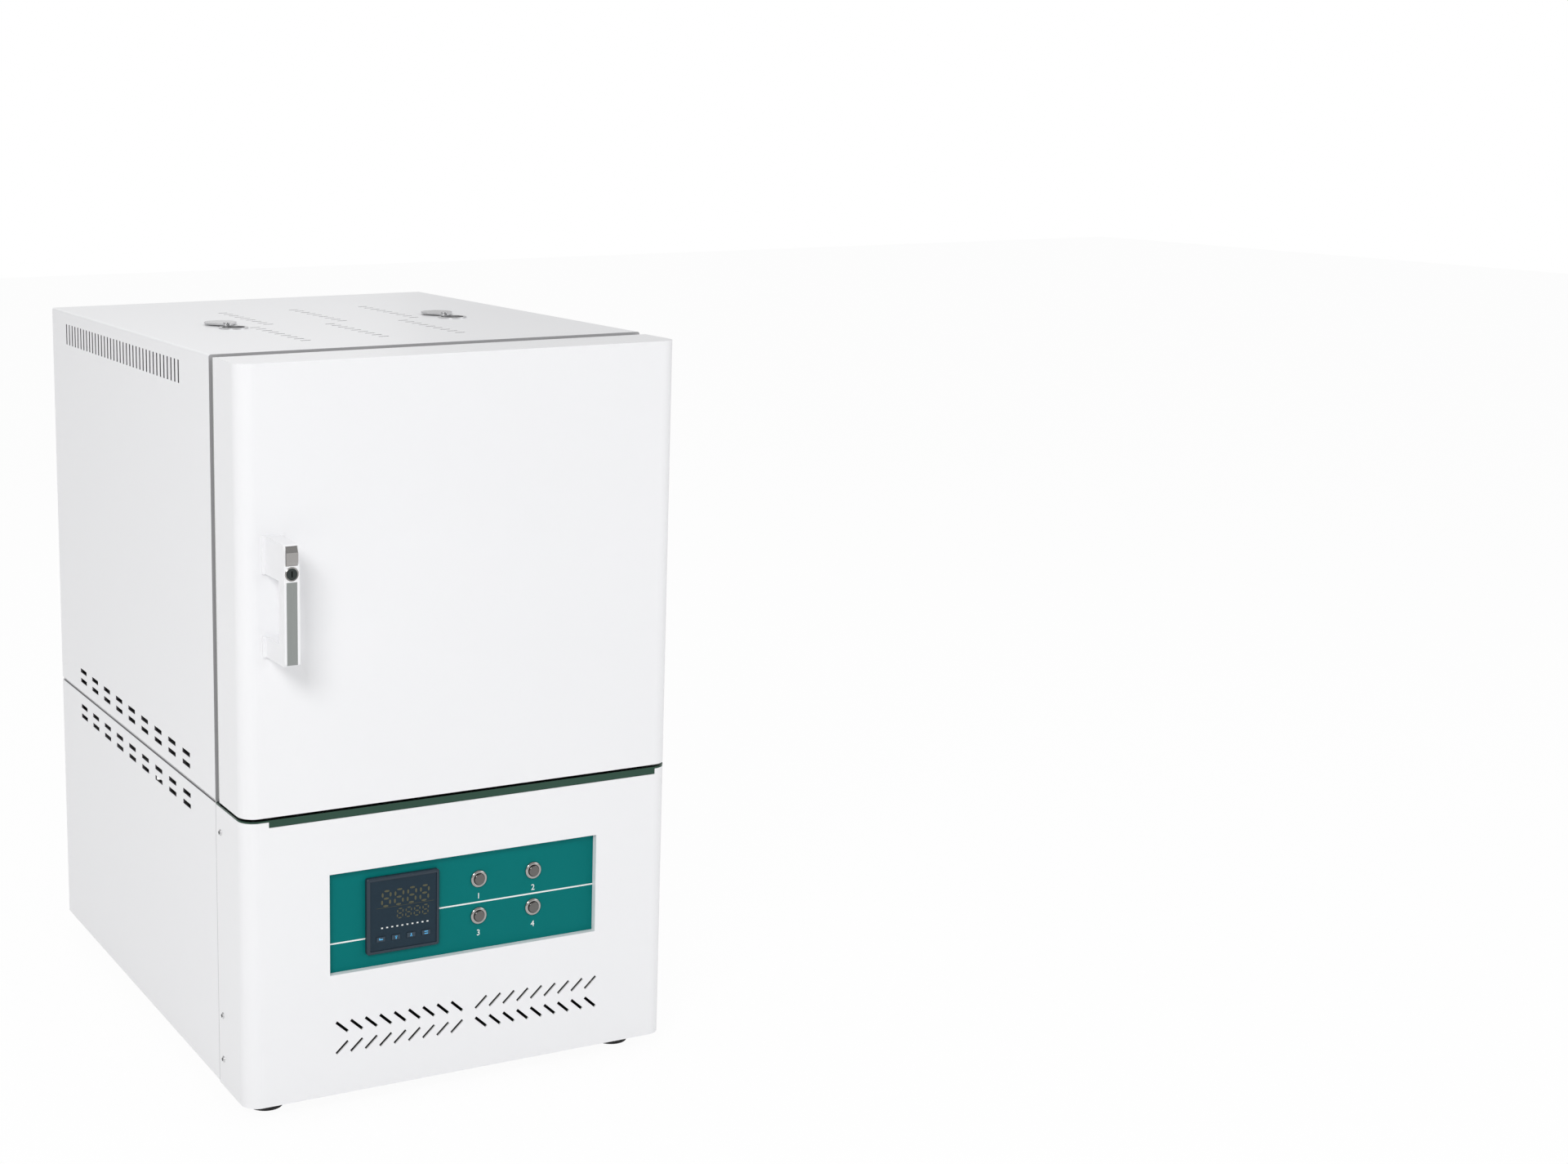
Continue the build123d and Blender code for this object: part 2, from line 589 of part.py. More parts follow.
# White fibre collar with the flared throat
with BuildPart() as collar:
    with BuildSketch(front(face_y)):
        with Locations((xc, zc)):
            Rectangle(collar_w, collar_w)
    extrude(amount=face_y - collar_y)
    chamfer(collar.faces().sort_by(Axis.Y)[0].edges(), length=collar_bevel, length2=bevel_run)
    with BuildSketch(front(face_y)):
        with Locations((xc, zc)):
            Rectangle(neck_w, neck_w)
    extrude(amount=-(cham_y0 - face_y))
    with BuildSketch(front(cham_y0)):
        with Locations((xc, zc)):
            RectangleRounded(chamber_w, chamber_w, chamber_r)
    extrude(amount=cham_y0 - collar_y, taper=-throat_lean, mode=Mode.SUBTRACT)
keep(collar, "collar")

# Muffle: five fibre boards round the chamber
rod_xs = (xc - half + rod_wall, xc + half - rod_wall)
element_ys = (cham_y0 + rod_first, cham_y0 + rod_first + rod_pitch)
leg_spots = [(x, y + side * rod_span / 2) for x in rod_xs for y in element_ys for side in (-1, 1)]
leg_hole = rod_d + 2 * hole_over
muffle_back_y = cham_y1 + board_t
with BuildPart() as muffle_roof:
    with BuildSketch(Plane.XY.offset(zc + half)):
        span(xc - outer, xc + outer, cham_y0, muffle_back_y)
        with Locations(*leg_spots):
            Rectangle(leg_hole, leg_hole, mode=Mode.SUBTRACT)
    extrude(amount=board_t)
keep(muffle_roof, "muffle_roof")

with BuildPart() as muffle_floor:
    with BuildSketch(Plane.XY.offset(zc - outer)):
        span(xc - outer, xc + outer, cham_y0, muffle_back_y)
    extrude(amount=board_t)
keep(muffle_floor, "muffle_floor")

with BuildPart() as muffle_left:
    with BuildSketch(Plane.XY.offset(zc - half)):
        span(xc - outer, xc - half, cham_y0, muffle_back_y)
    extrude(amount=chamber_w)
keep(muffle_left, "muffle_left")

with BuildPart() as muffle_right:
    with BuildSketch(Plane.XY.offset(zc - half)):
        span(xc + half, xc + outer, cham_y0, muffle_back_y)
    extrude(amount=chamber_w)
keep(muffle_right, "muffle_right")

probe_gx, probe_gz = xc - probe_side, zc + probe_up
with BuildPart() as muffle_back:
    with BuildSketch(front(cham_y1)):
        with Locations((xc, zc)):
            Rectangle(chamber_w, chamber_w)
        with Locations((probe_gx, probe_gz)):
            Circle(probe_d / 2 + pin_clear, mode=Mode.SUBTRACT)
    extrude(amount=-board_t)
keep(muffle_back, "muffle_back")

# Insulation jacket: packed box round the muffle, standing on the deck
jacket_y1 = muffle_back_y + jacket_back
jacket_z1 = zc + outer + jacket_cover
with BuildPart() as insulation_jacket:
    with BuildSketch(Plane.XY.offset(zs)):
        span(xc - jacket_w / 2, xc + jacket_w / 2, face_y + bright_t, jacket_y1)
    extrude(amount=jacket_z1 - zs)
    with BuildSketch(front(cham_y0)):
        span(xc - outer, xc + outer, zc - outer, zc + outer)
    extrude(amount=-(muffle_back_y - cham_y0), mode=Mode.SUBTRACT)
    with BuildSketch(front(yf)):
        with Locations((xc, zc)):
            Rectangle(neck_w + 2 * jacket_clear, neck_w + 2 * jacket_clear)
    extrude(amount=-chamber_y, mode=Mode.SUBTRACT)
    with BuildSketch(Plane.XY.offset(zc + outer)):
        with Locations(*leg_spots):
            Rectangle(leg_hole, leg_hole)
    extrude(amount=jacket_cover, mode=Mode.SUBTRACT)
    with BuildSketch(front(muffle_back_y)):
        with Locations((probe_gx, probe_gz)):
            Circle(probe_d / 2 + pin_clear)
    extrude(amount=-jacket_back, mode=Mode.SUBTRACT)
keep(insulation_jacket, "insulation_jacket")

# Four U-shaped heating elements hung through the roof, and the blocks that hold them
bow_r = rod_span / 2
bow_z = zc - half + rod_up + rod_d / 2 + bow_r
rod_top = jacket_z1 + holder_h + rod_stub
with BuildPart() as heating_elements:
    for gx in rod_xs:
        for cy in element_ys:
            with BuildLine(Plane.YZ.offset(gx)) as rod_path:
                Line((cy - bow_r, rod_top), (cy - bow_r, bow_z))
                ThreePointArc((cy - bow_r, bow_z), (cy, bow_z - bow_r), (cy + bow_r, bow_z))
                Line((cy + bow_r, bow_z), (cy + bow_r, rod_top))
            with BuildSketch(Plane.XY.offset(rod_top)):
                with Locations((gx, cy - bow_r)):
                    RegularPolygon(rod_d / 2, 8)
            sweep(path=rod_path.line)
keep(heating_elements, "heating_elements")

with BuildPart() as element_holders:
    with BuildSketch(Plane.XY.offset(jacket_z1)):
        with Locations(*[(x, y) for x in rod_xs for y in element_ys]):
            Rectangle(holder_w, rod_span + 2 * holder_end)
    extrude(amount=holder_h)
    chamfer(element_holders.faces().group_by(Axis.Z)[-1].edges(), holder_bevel)
    with BuildSketch(Plane.XY.offset(jacket_z1)):
        with Locations(*leg_spots):
            RegularPolygon(rod_d / 2 + rod_clear, 8)
    extrude(amount=holder_h, mode=Mode.SUBTRACT)
keep(element_holders, "element_holders")

# Thermocouple: sheathed rod with a terminal head behind the packing
with BuildPart() as thermocouple:
    with BuildSketch(front(cham_y1 - probe_reach)):
        with Locations((probe_gx, probe_gz)):
            Circle(probe_d / 2)
    extrude(amount=-(jacket_y1 - cham_y1 + probe_reach))
    chamfer(thermocouple.faces().sort_by(Axis.Y)[0].edges(), probe_tip)
    with BuildSketch(front(jacket_y1)):
        with Locations((probe_gx, probe_gz)):
            RegularPolygon(head_d / 2, 8)
    extrude(amount=-head_l)
keep(thermocouple, "thermocouple")

# Vents in the top: bored rings, pivots and swinging covers
cover_z = zt + vent_ring_t + lift_clear
with BuildPart() as vent_rings:
    with BuildSketch(Plane.XY.offset(zt - vent_tube_l)):
        with Locations(*vent_bores):
            Circle(vent_tube_r)
    extrude(amount=vent_tube_l)
    with BuildSketch(Plane.XY.offset(zt)):
        with Locations(*vent_bores):
            Circle(vent_ring_d / 2)
    extrude(amount=vent_ring_t)
    with BuildSketch(Plane.XY.offset(zt - vent_tube_l)):
        with Locations(*vent_bores):
            Circle(vent_bore_d / 2)
    extrude(amount=vent_tube_l + vent_ring_t, mode=Mode.SUBTRACT)
keep(vent_rings, "vent_rings")

with BuildPart() as vent_pivots:
    with BuildSketch(Plane.XY.offset(zt)):
        with Locations(*vent_pins):
            Circle(vent_pin_d / 2)
    extrude(amount=vent_ring_t + vent_cover_t + 2 * lift_clear)
    with BuildSketch(Plane.XY.offset(cover_z + vent_cover_t + lift_clear)):
        with Locations(*vent_pins):
            Circle(vent_head_d / 2)
    extrude(amount=vent_head_t)
keep(vent_pivots, "vent_pivots")

for index, (vx, vy) in enumerate(vent_pins):
    with BuildPart() as vent_cover:
        with BuildSketch(Plane.XY.offset(cover_z)):
            with Locations((vx, vy + vent_swing_r)):
                Circle(vent_cover_d / 2)
            with Locations((vx, vy)):
                Circle(vent_ear_d / 2)
            make_hull()
            with Locations((vx, vy)):
                Circle(vent_pin_d / 2 + pin_clear, mode=Mode.SUBTRACT)
        extrude(amount=vent_cover_t)
    keep(vent_cover, "vent_cover_" + str(index + 1))

# Door: deep coated pan, bright liner, gasket, fibre slab and tapered plug
door_z0, door_z1 = zs + door_sill_gap, zt - door_top_gap
pan_y = rim_y - liner_proud
stem_z = sgz + thumb_low + stem_up
stem_hole_r = stem_d / 2 + stem_clear
with BuildPart() as door_shell:
    with BuildSketch(Plane.XY.offset(door_z0)) as door_plan:
        span(xl, xr, door_y, pan_y)
        fillet(door_plan.vertices().group_by(Axis.Y)[0], corner_r)
    extrude(amount=door_z1 - door_z0)
    with BuildSketch(Plane.XY.offset(door_z0 + sheet)) as door_hollow:
        span(xl + sheet, xr - sheet, door_y + sheet, pan_y)
        fillet(door_hollow.vertices().group_by(Axis.Y)[0], corner_r - sheet)
    extrude(amount=door_z1 - door_z0 - 2 * sheet, mode=Mode.SUBTRACT)
    with BuildSketch(front(door_y)):
        with Locations((latch_gx, stem_z)):
            Circle(stem_hole_r)
    extrude(amount=-sheet, mode=Mode.SUBTRACT)
keep(door_shell, "door_shell")

with BuildPart() as door_liner:
    with BuildSketch(front(rim_y)):
        span(xl + sheet, xr - sheet, door_z0 + sheet, door_z1 - sheet)
    extrude(amount=liner_set + bright_t)
    with BuildSketch(front(rim_y)):
        span(xl + sheet + bright_t, xr - sheet - bright_t, door_z0 + sheet + bright_t,
             door_z1 - sheet - bright_t)
    extrude(amount=liner_set, mode=Mode.SUBTRACT)
    with BuildSketch(front(liner_y)):
        with Locations((latch_gx, sgz)):
            Rectangle(latch_slot_w, latch_slot_h)
        with Locations((xc, door_z0 + liner_slots_up)):
            with GridLocations(face_slot_pitch, face_slot_rows, face_slot_n, 2):
                Rectangle(face_slot_l, face_slot_w)
    extrude(amount=bright_t, mode=Mode.SUBTRACT)
keep(door_liner, "door_liner")

seal_y0 = liner_y + seal_frame_h
with BuildPart() as gasket_frame:
    with BuildSketch(front(liner_y)):
        with Locations((xc, zc)):
            Rectangle(seal_out, seal_out)
            Rectangle(seal_out - 2 * seal_w, seal_out - 2 * seal_w, mode=Mode.SUBTRACT)
    extrude(amount=-seal_frame_h)
keep(gasket_frame, "gasket_frame")

with BuildPart() as door_gasket:
    with BuildSketch(front(seal_y0)):
        with Locations((xc, zc)):
            Rectangle(seal_out, seal_out)
            Rectangle(seal_out - 2 * seal_w, seal_out - 2 * seal_w, mode=Mode.SUBTRACT)
    extrude(amount=-(face_y - seal_clear - seal_y0))
    chamfer(door_gasket.faces().sort_by(Axis.Y)[-1].edges(), seal_w * 0.3)
keep(door_gasket, "door_gasket")

slab_front = collar_y - slab_clear
with BuildPart() as door_block:
    with BuildSketch(front(liner_y)):
        with Locations((xc, zc)):
            Rectangle(slab_w, slab_w)
    extrude(amount=-(slab_front - liner_y))
    chamfer(door_block.faces().sort_by(Axis.Y)[-1].edges(), slab_edge)
keep(door_block, "door_block")

with BuildPart() as door_plug:
    with BuildSketch(front(slab_front)):
        with Locations((xc, zc)):
            RectangleRounded(funnel_w - 2 * plug_air, funnel_w - 2 * plug_air, plug_r)
    extrude(amount=-plug_l, taper=throat_lean)
    chamfer(door_plug.faces().sort_by(Axis.Y)[-1].edges(), plug_bevel)
keep(door_plug, "door_plug")

with BuildPart() as door_filler:
    with BuildSketch(Plane.XY.offset(door_z0 + sheet + filler_end)):
        span(latch_gx + plate_hw + lift_clear + guide_t + filler_gap, xr - sheet - filler_edge,
             door_y + sheet, liner_y - bright_t)
    extrude(amount=door_z1 - door_z0 - 2 * sheet - 2 * filler_end)
keep(door_filler, "door_filler")

# Hinges at both ends of the right side, and the cover strip between them
hx, hy = xr + hinge_out - hinge_r, yf + hinge_y
knuckle = (hinge_h - 2 * knuckle_gap) / 3
hinge_mids = (zt - hinge_down, zs + hinge_up)
with BuildPart() as hinge_case_leaves:
    for hz in hinge_mids:
        with BuildSketch(Plane.XY.offset(hz - hinge_h / 2)):
            span(xr, xr + leaf_t, hy + hinge_r - leaf_t, hy + hinge_r - leaf_t + leaf_l)
        extrude(amount=hinge_h)
        for low in (hz - hinge_h / 2, hz + hinge_h / 2 - knuckle):
            with BuildSketch(Plane.XY.offset(low)):
                span(xr, hx, hy + hinge_r - leaf_t, hy + hinge_r)
                with Locations((hx, hy)):
                    Circle(hinge_r)
                    Circle(hinge_pin_d / 2, mode=Mode.SUBTRACT)
            extrude(amount=knuckle)
keep(hinge_case_leaves, "hinge_case_leaves")

with BuildPart() as hinge_door_leaves:
    for hz in hinge_mids:
        with BuildSketch(Plane.XY.offset(hz - hinge_h / 2)):
            span(xr, xr + leaf_t, rim_y - leaf_l, pan_y)
            span(xr + leaf_air, xr + leaf_t, pan_y, hy - hinge_r + leaf_t)
        extrude(amount=hinge_h)
        with BuildSketch(Plane.XY.offset(hz - knuckle / 2)):
            span(xr + leaf_air, hx, hy - hinge_r, hy - hinge_r + leaf_t)
            with Locations((hx, hy)):
                Circle(hinge_r)
                Circle(hinge_pin_d / 2 + pin_clear, mode=Mode.SUBTRACT)
        extrude(amount=knuckle)
keep(hinge_door_leaves, "hinge_door_leaves")

with BuildPart() as hinge_pins:
    for hz in hinge_mids:
        with BuildSketch(Plane.XY.offset(hz - hinge_h / 2)):
            with Locations((hx, hy)):
                Circle(hinge_pin_d / 2)
        extrude(amount=hinge_h + knuckle_gap)
keep(hinge_pins, "hinge_pins")

guard_z0 = hinge_mids[1] + hinge_h / 2 + knuckle_gap + guard_end
guard_z1 = hinge_mids[0] - hinge_h / 2 - guard_end
with BuildPart() as hinge_guard:
    with BuildSketch(Plane.XY.offset(guard_z0)):
        span(xr, xr + guard_t, rim_y - guard_foot, pan_y)
        span(xr + leaf_air, xr + guard_t + leaf_air, pan_y - 1, hy - hinge_r)
        span(xr + leaf_air, xr + guard_out, hy - hinge_r - guard_t, hy - hinge_r)
        span(xr + guard_out - guard_t, xr + guard_out, hy - hinge_r - guard_t, hy + guard_wrap)
    extrude(amount=guard_z1 - guard_z0)
keep(hinge_guard, "hinge_guard")

# Handle with its grey strip, key lock and sprung thumb piece
bar_y = door_y - handle_out + thumb_proud
bar_x0, bar_x1 = latch_gx - handle_w / 2, latch_gx + handle_w / 2
bar_z0, bar_z1 = sgz - bar_low, sgz + bar_high
lock_z = sgz - lock_down
strip_z0, strip_z1 = bar_z0 + strip_end, lock_z - strip_gap
thumb_z0, thumb_z1 = sgz + thumb_low, sgz + thumb_low + thumb_h
with BuildPart() as handle_body:
    with BuildSketch(Plane.YZ.offset(bar_x0)):
        span(bar_y, bar_y + bar_t, bar_z0, bar_z1)
        span(bar_y, door_y - handle_foot_t, bar_z1 - top_post, bar_z1)
        span(bar_y, door_y - handle_foot_t, bar_z0, bar_z0 + low_post)
    extrude(amount=handle_w)
    fillet(handle_body.edges().filter_by(Axis.X).group_by(Axis.Y)[0], handle_r)
    with BuildSketch(front(door_y)):
        span(bar_x0 - handle_foot_edge, bar_x1 + handle_foot_edge, bar_z1 - top_post, bar_z1 + 1)
        span(bar_x0 - handle_foot_edge, bar_x1 + handle_foot_edge, bar_z0 - 1, bar_z0 + low_post)
    extrude(amount=handle_foot_t)
    with BuildSketch(front(bar_y)):
        span(latch_gx - strip_w / 2, latch_gx + strip_w / 2, strip_z0, strip_z1)
    extrude(amount=-strip_t, mode=Mode.SUBTRACT)
    with BuildSketch(front(bar_y)):
        with Locations((latch_gx, lock_z)):
            Circle(lock_d / 2 + pin_clear)
    extrude(amount=-(lock_l + lift_clear), mode=Mode.SUBTRACT)
    with BuildSketch(front(bar_y)):
        span(latch_gx - thumb_w / 2 - lift_clear, latch_gx + thumb_w / 2 + lift_clear,
             thumb_z0 - lift_clear, thumb_z1 + lift_clear)
    extrude(amount=-(thumb_l + thumb_stroke + lift_clear), mode=Mode.SUBTRACT)
    with BuildSketch(front(bar_y)):
        with Locations((latch_gx, stem_z)):
            Circle(stem_hole_r)
    extrude(amount=-(door_y - bar_y), mode=Mode.SUBTRACT)
keep(handle_body, "handle_body")

with BuildPart() as handle_strip:
    with BuildSketch(front(bar_y)):
        span(latch_gx - strip_w / 2, latch_gx + strip_w / 2, strip_z0, strip_z1)
    extrude(amount=-strip_t)
keep(handle_strip, "handle_strip")

with BuildPart() as lock_barrel:
    with BuildSketch(front(bar_y - lock_proud)):
        with Locations((latch_gx, lock_z)):
            Circle(lock_d / 2)
    extrude(amount=-(lock_l + lock_proud))
    with BuildSketch(front(bar_y - lock_proud)):
        with Locations((latch_gx, lock_z)):
            Rectangle(key_slot_w, key_slot_h)
    extrude(amount=-key_slot_l, mode=Mode.SUBTRACT)
keep(lock_barrel, "lock_barrel")

with BuildPart() as thumb_button:
    with BuildSketch(Plane.YZ.offset(latch_gx - thumb_w / 2)):
        with BuildLine():
            Polyline((bar_y - thumb_proud, thumb_z0 + thumb_toe),
                     (bar_y - thumb_proud, thumb_z0 + thumb_crown), (bar_y + thumb_proud, thumb_z1), (bar_y + thumb_l, thumb_z1),
                     (bar_y + thumb_l, thumb_z0), (bar_y, thumb_z0), close=True)
        make_face()
    extrude(amount=thumb_w)
    with BuildSketch(front(bar_y + thumb_l)):
        with Locations((latch_gx, stem_z)):
            Circle(stem_d / 2)
    extrude(amount=-(latch_y0 - thumb_stroke - plate_air - ramp_over - bar_y - thumb_l))
keep(thumb_button, "thumb_button")

# Keyhole latch behind the liner: guides, sliding plate and its ramp under the push stem
guide_z0, guide_z1 = sgz - plate_low - keyhole_up - guide_end - 2, sgz + plate_high + guide_end
with BuildPart() as latch_bracket:
    with BuildSketch(Plane.XY.offset(guide_z0)):
        for side in (-1, 1):
            groove = side * (plate_hw + lift_clear)
            wall = side * (plate_hw + lift_clear + guide_t)
            lip = side * (plate_hw - guide_lip)
            span(latch_gx + min(groove, wall), latch_gx + max(groove, wall),
                 latch_y0 - plate_air - guide_lip, liner_y - bright_t)
            span(latch_gx + min(lip, groove), latch_gx + max(lip, groove),
                 latch_y0 - plate_air - guide_lip, latch_y0 - plate_air)
    extrude(amount=guide_z1 - guide_z0)
    with BuildSketch(Plane.XY.offset(guide_z0)):
        span(latch_gx - plate_hw - lift_clear, latch_gx + plate_hw + lift_clear,
             latch_y0 - plate_air - guide_lip, liner_y - bright_t)
    extrude(amount=guide_end)
keep(latch_bracket, "latch_bracket")

ramp_run = thumb_stroke + plate_air + ramp_over
ramp_z = stem_z - stem_hole_r
neck_slot_r = strike_neck_d / 2 + stem_clear
with BuildPart() as latch_plate:
    with BuildSketch(front(latch_y0)):
        span(latch_gx - plate_hw, latch_gx + plate_hw, sgz - plate_low, sgz + plate_high)
        with Locations((latch_gx, sgz + keyhole_up)):
            Circle(keyhole_d / 2, mode=Mode.SUBTRACT)
        with Locations((latch_gx, sgz)):
            Circle(neck_slot_r, mode=Mode.SUBTRACT)
        span(latch_gx - neck_slot_r, latch_gx + neck_slot_r, sgz, sgz + keyhole_up, Mode.SUBTRACT)
    extrude(amount=-plate_t)
    with BuildSketch(Plane.YZ.offset(latch_gx - ramp_w / 2)):
        with BuildLine():
            Polyline((latch_y0, ramp_z - ramp_seat),
                     (latch_y0, ramp_z + ramp_run * keyhole_up / thumb_stroke),
                     (latch_y0 - ramp_run, ramp_z), (latch_y0 - ramp_run, ramp_z - ramp_seat),
                     close=True)
        make_face()
    extrude(amount=ramp_w)
keep(latch_plate, "latch_plate")

# Liner screws and case screws: low heads on their seats
liner_screw_spots = [(x, z) for x in (xl + liner_screw_in, xr - liner_screw_in)
                     for z in (zt - liner_screw_down, zs + liner_screw_up)]
liner_screw_spots.append((xl + liner_screw_in, sgz - liner_screw_mid))
with BuildPart() as liner_screws:
    with BuildSketch(front(liner_y)):
        with Locations(*liner_screw_spots):
            RegularPolygon(screw_d / 2, screw_sides)
    extrude(amount=-screw_h, taper=screw_lean)
keep(liner_screws, "liner_screws")

panel_screw_zs = [zb + rise for rise in panel_screw_ups] + [zs - panel_screw_down]
with BuildPart() as case_screws:
    for wall_x, way in ((xl, -1), (xr, 1)):
        with BuildSketch(Plane.YZ.offset(wall_x)):
            with Locations(*[(yf - panel_screw_in, z) for z in panel_screw_zs]):
                RegularPolygon(screw_d / 2, screw_sides)
        extrude(amount=way * screw_h, taper=screw_lean)
    with BuildSketch(front(yr)):
        with Locations((xc, (zb + zt) / 2)):
            with GridLocations(case_w - 2 * rear_screw_in,
                               (case_h - 2 * rear_screw_end) / (rear_screw_n - 1), 2, rear_screw_n):
                RegularPolygon(screw_d / 2, screw_sides)
    extrude(amount=-screw_h, taper=screw_lean)
keep(case_screws, "case_screws")

# Power parts on the floor of the lower bay: transformer, its winding, switching module
bay_z = zb + sheet
core_x, core_z = xc - core_side, zb + sheet + core_base_t
leg_x = (core_w - core_leg) / 2
with BuildPart() as transformer:
    with BuildSketch(Plane.XY.offset(bay_z)):
        with Locations((core_x, yf + core_y)):
            Rectangle(core_base_w, core_base_l)
    extrude(amount=core_base_t)
    with BuildSketch(front(yf + core_y - core_t / 2)):
        with Locations((core_x, core_z + core_h / 2)):
            Rectangle(core_w, core_h)
            with Locations((-leg_x / 2 - core_leg / 4, 0), (leg_x / 2 + core_leg / 4, 0)):
                Rectangle(leg_x - core_leg / 2, core_h - core_leg, mode=Mode.SUBTRACT)
    extrude(amount=-core_t)
keep(transformer, "transformer")

with BuildPart() as transformer_coil:
    with BuildSketch(Plane.XY.offset(core_z + core_leg / 2)):
        with Locations((core_x, yf + core_y)):
            Rectangle(core_leg + 2 * winding_t, core_t + 2 * winding_t)
            Rectangle(core_leg + 2 * winding_gap, core_t + 2 * winding_gap, mode=Mode.SUBTRACT)
    extrude(amount=core_h - core_leg)
keep(transformer_coil, "transformer_coil")

with BuildPart() as scr_module:
    with BuildSketch(Plane.XY.offset(bay_z)):
        with Locations((xc + module_side, yf + module_y)):
            Rectangle(module_w, module_l)
    extrude(amount=module_base_t)
    with BuildSketch(Plane.XY.offset(bay_z + module_base_t)):
        with Locations((xc + module_side, yf + module_y)):
            with GridLocations(fin_pitch, 1, fin_n, 1):
                Rectangle(fin_t, module_l)
    extrude(amount=fin_h)
    with BuildSketch(Plane.XY.offset(bay_z + module_base_t + fin_h)):
        with Locations((xc + module_side, yf + module_y)):
            Rectangle(switch_w, switch_l)
    extrude(amount=switch_h)
keep(scr_module, "scr_module")

print(len(made), "pieces")
print("door hinge axis", hx / 1000, hy / 1000)
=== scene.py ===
import math

import bpy
from mathutils import Matrix, Vector


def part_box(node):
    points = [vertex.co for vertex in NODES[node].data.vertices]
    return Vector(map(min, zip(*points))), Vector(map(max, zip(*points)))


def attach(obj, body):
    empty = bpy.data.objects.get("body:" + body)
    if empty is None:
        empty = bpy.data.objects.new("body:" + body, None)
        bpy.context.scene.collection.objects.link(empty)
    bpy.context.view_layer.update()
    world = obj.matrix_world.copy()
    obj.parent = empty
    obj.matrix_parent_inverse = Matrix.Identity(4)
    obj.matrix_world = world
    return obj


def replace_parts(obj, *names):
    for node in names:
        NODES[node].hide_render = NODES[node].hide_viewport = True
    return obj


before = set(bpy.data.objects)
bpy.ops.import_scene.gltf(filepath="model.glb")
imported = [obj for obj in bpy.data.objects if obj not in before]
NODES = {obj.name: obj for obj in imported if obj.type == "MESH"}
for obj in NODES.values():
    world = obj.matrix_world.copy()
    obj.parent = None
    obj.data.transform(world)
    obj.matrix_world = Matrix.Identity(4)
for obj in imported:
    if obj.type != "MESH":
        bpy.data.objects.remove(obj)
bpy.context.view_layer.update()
scene = bpy.context.scene


def corner(node):
    """Lowest and highest corner of a CAD node, as vectors."""
    low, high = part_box(node)
    return Vector(low), Vector(high)


# Sides of the case, in metres
case_low, case_high = corner("upper_case")
lower_low, lower_high = corner("lower_case")
LEFT, RIGHT = case_low.x, case_high.x
LIP_Y, BACK_Y = case_low.y, case_high.y
BASE_Z, TOP_Z = lower_low.z, case_high.z
SEAM_LOW, SEAM_HIGH = lower_high.z, case_low.z

# Faces and pieces of the control panel
PLATE_Y = corner("control_plate")[0].y
WINDOW_Y = corner("controller_face")[0].y
housing_low, housing_high = corner("controller_housing")
BUTTONS = ["button_%d" % number for number in range(1, 5)]
KEYS = ["key_%d" % number for number in range(1, 5)]

# The photograph's frame, in pixels
PHOTO_WIDE, PHOTO_HIGH = 1920.0, 1425.0


# Camera: left of the closed furnace and a little above its top, looking slightly down
def place_camera():
    turn, dip, roll = 0.40437, 0.19025, -0.00533
    focal_px, axis_x_px, axis_y_px = 2761.1, 408.75, 643.4
    stand_x, stand_y, stand_z = -1.54727, -4.25108, 2.07997    # in widths of the case
    wide = RIGHT - LEFT
    ahead = Vector((math.sin(turn) * math.cos(dip), math.cos(turn) * math.cos(dip), -math.sin(dip)))
    side = ahead.cross(Vector((0, 0, 1))).normalized()
    up = side.cross(ahead)
    right = math.cos(roll) * side + math.sin(roll) * up
    top = -math.sin(roll) * side + math.cos(roll) * up
    lens = bpy.data.cameras.new("photo_camera")
    lens.sensor_width = 36.0
    lens.lens = focal_px * lens.sensor_width / PHOTO_WIDE
    lens.shift_x = (PHOTO_WIDE / 2 - axis_x_px) / PHOTO_WIDE
    lens.shift_y = (axis_y_px - PHOTO_HIGH / 2) / PHOTO_WIDE
    lens.clip_start, lens.clip_end = 0.05, 60.0
    camera = bpy.data.objects.new("photo_camera", lens)
    scene.collection.objects.link(camera)
    place = (LEFT + stand_x * wide, LIP_Y + stand_y * wide, BASE_Z + stand_z * wide)
    facing = Matrix((right, top, -ahead)).transposed().to_4x4()
    camera.matrix_world = Matrix.Translation(place) @ facing
    scene.camera = camera


# Shader nodes and their arithmetic
class Field:
    """A node's output whose arithmetic adds Math nodes to its own tree."""

    def __init__(self, owner, socket):
        self.owner, self.socket = owner, socket

    def __add__(self, other):
        return self.owner.maths("ADD", self, other)

    def __radd__(self, other):
        return self.owner.maths("ADD", other, self)

    def __sub__(self, other):
        return self.owner.maths("SUBTRACT", self, other)

    def __rsub__(self, other):
        return self.owner.maths("SUBTRACT", other, self)

    def __mul__(self, other):
        return self.owner.maths("MULTIPLY", self, other)

    def __rmul__(self, other):
        return self.owner.maths("MULTIPLY", other, self)

    def __gt__(self, other):
        return self.owner.maths("GREATER_THAN", self, other)

    def __lt__(self, other):
        return self.owner.maths("LESS_THAN", self, other)


class Nodes:
    """A node tree whose new nodes all come from one method."""

    def __init__(self, tree):
        self.tree = tree

    def node(self, kind, settings=None, feeds=(), out=0):
        """A node with its settings first, then the values or links of its sockets."""
        made = self.tree.nodes.new(kind)
        for key, value in (settings or {}).items():
            setattr(made, key, value)
        pairs = feeds.items() if isinstance(feeds, dict) else enumerate(feeds)
        for key, value in pairs:
            if isinstance(value, Field):
                self.tree.links.new(value.socket, made.inputs[key])
            else:
                made.inputs[key].default_value = value
        return Field(self, made.outputs[out])

    def maths(self, operation, first, second):
        return self.node("ShaderNodeMath", {"operation": operation}, [first, second])


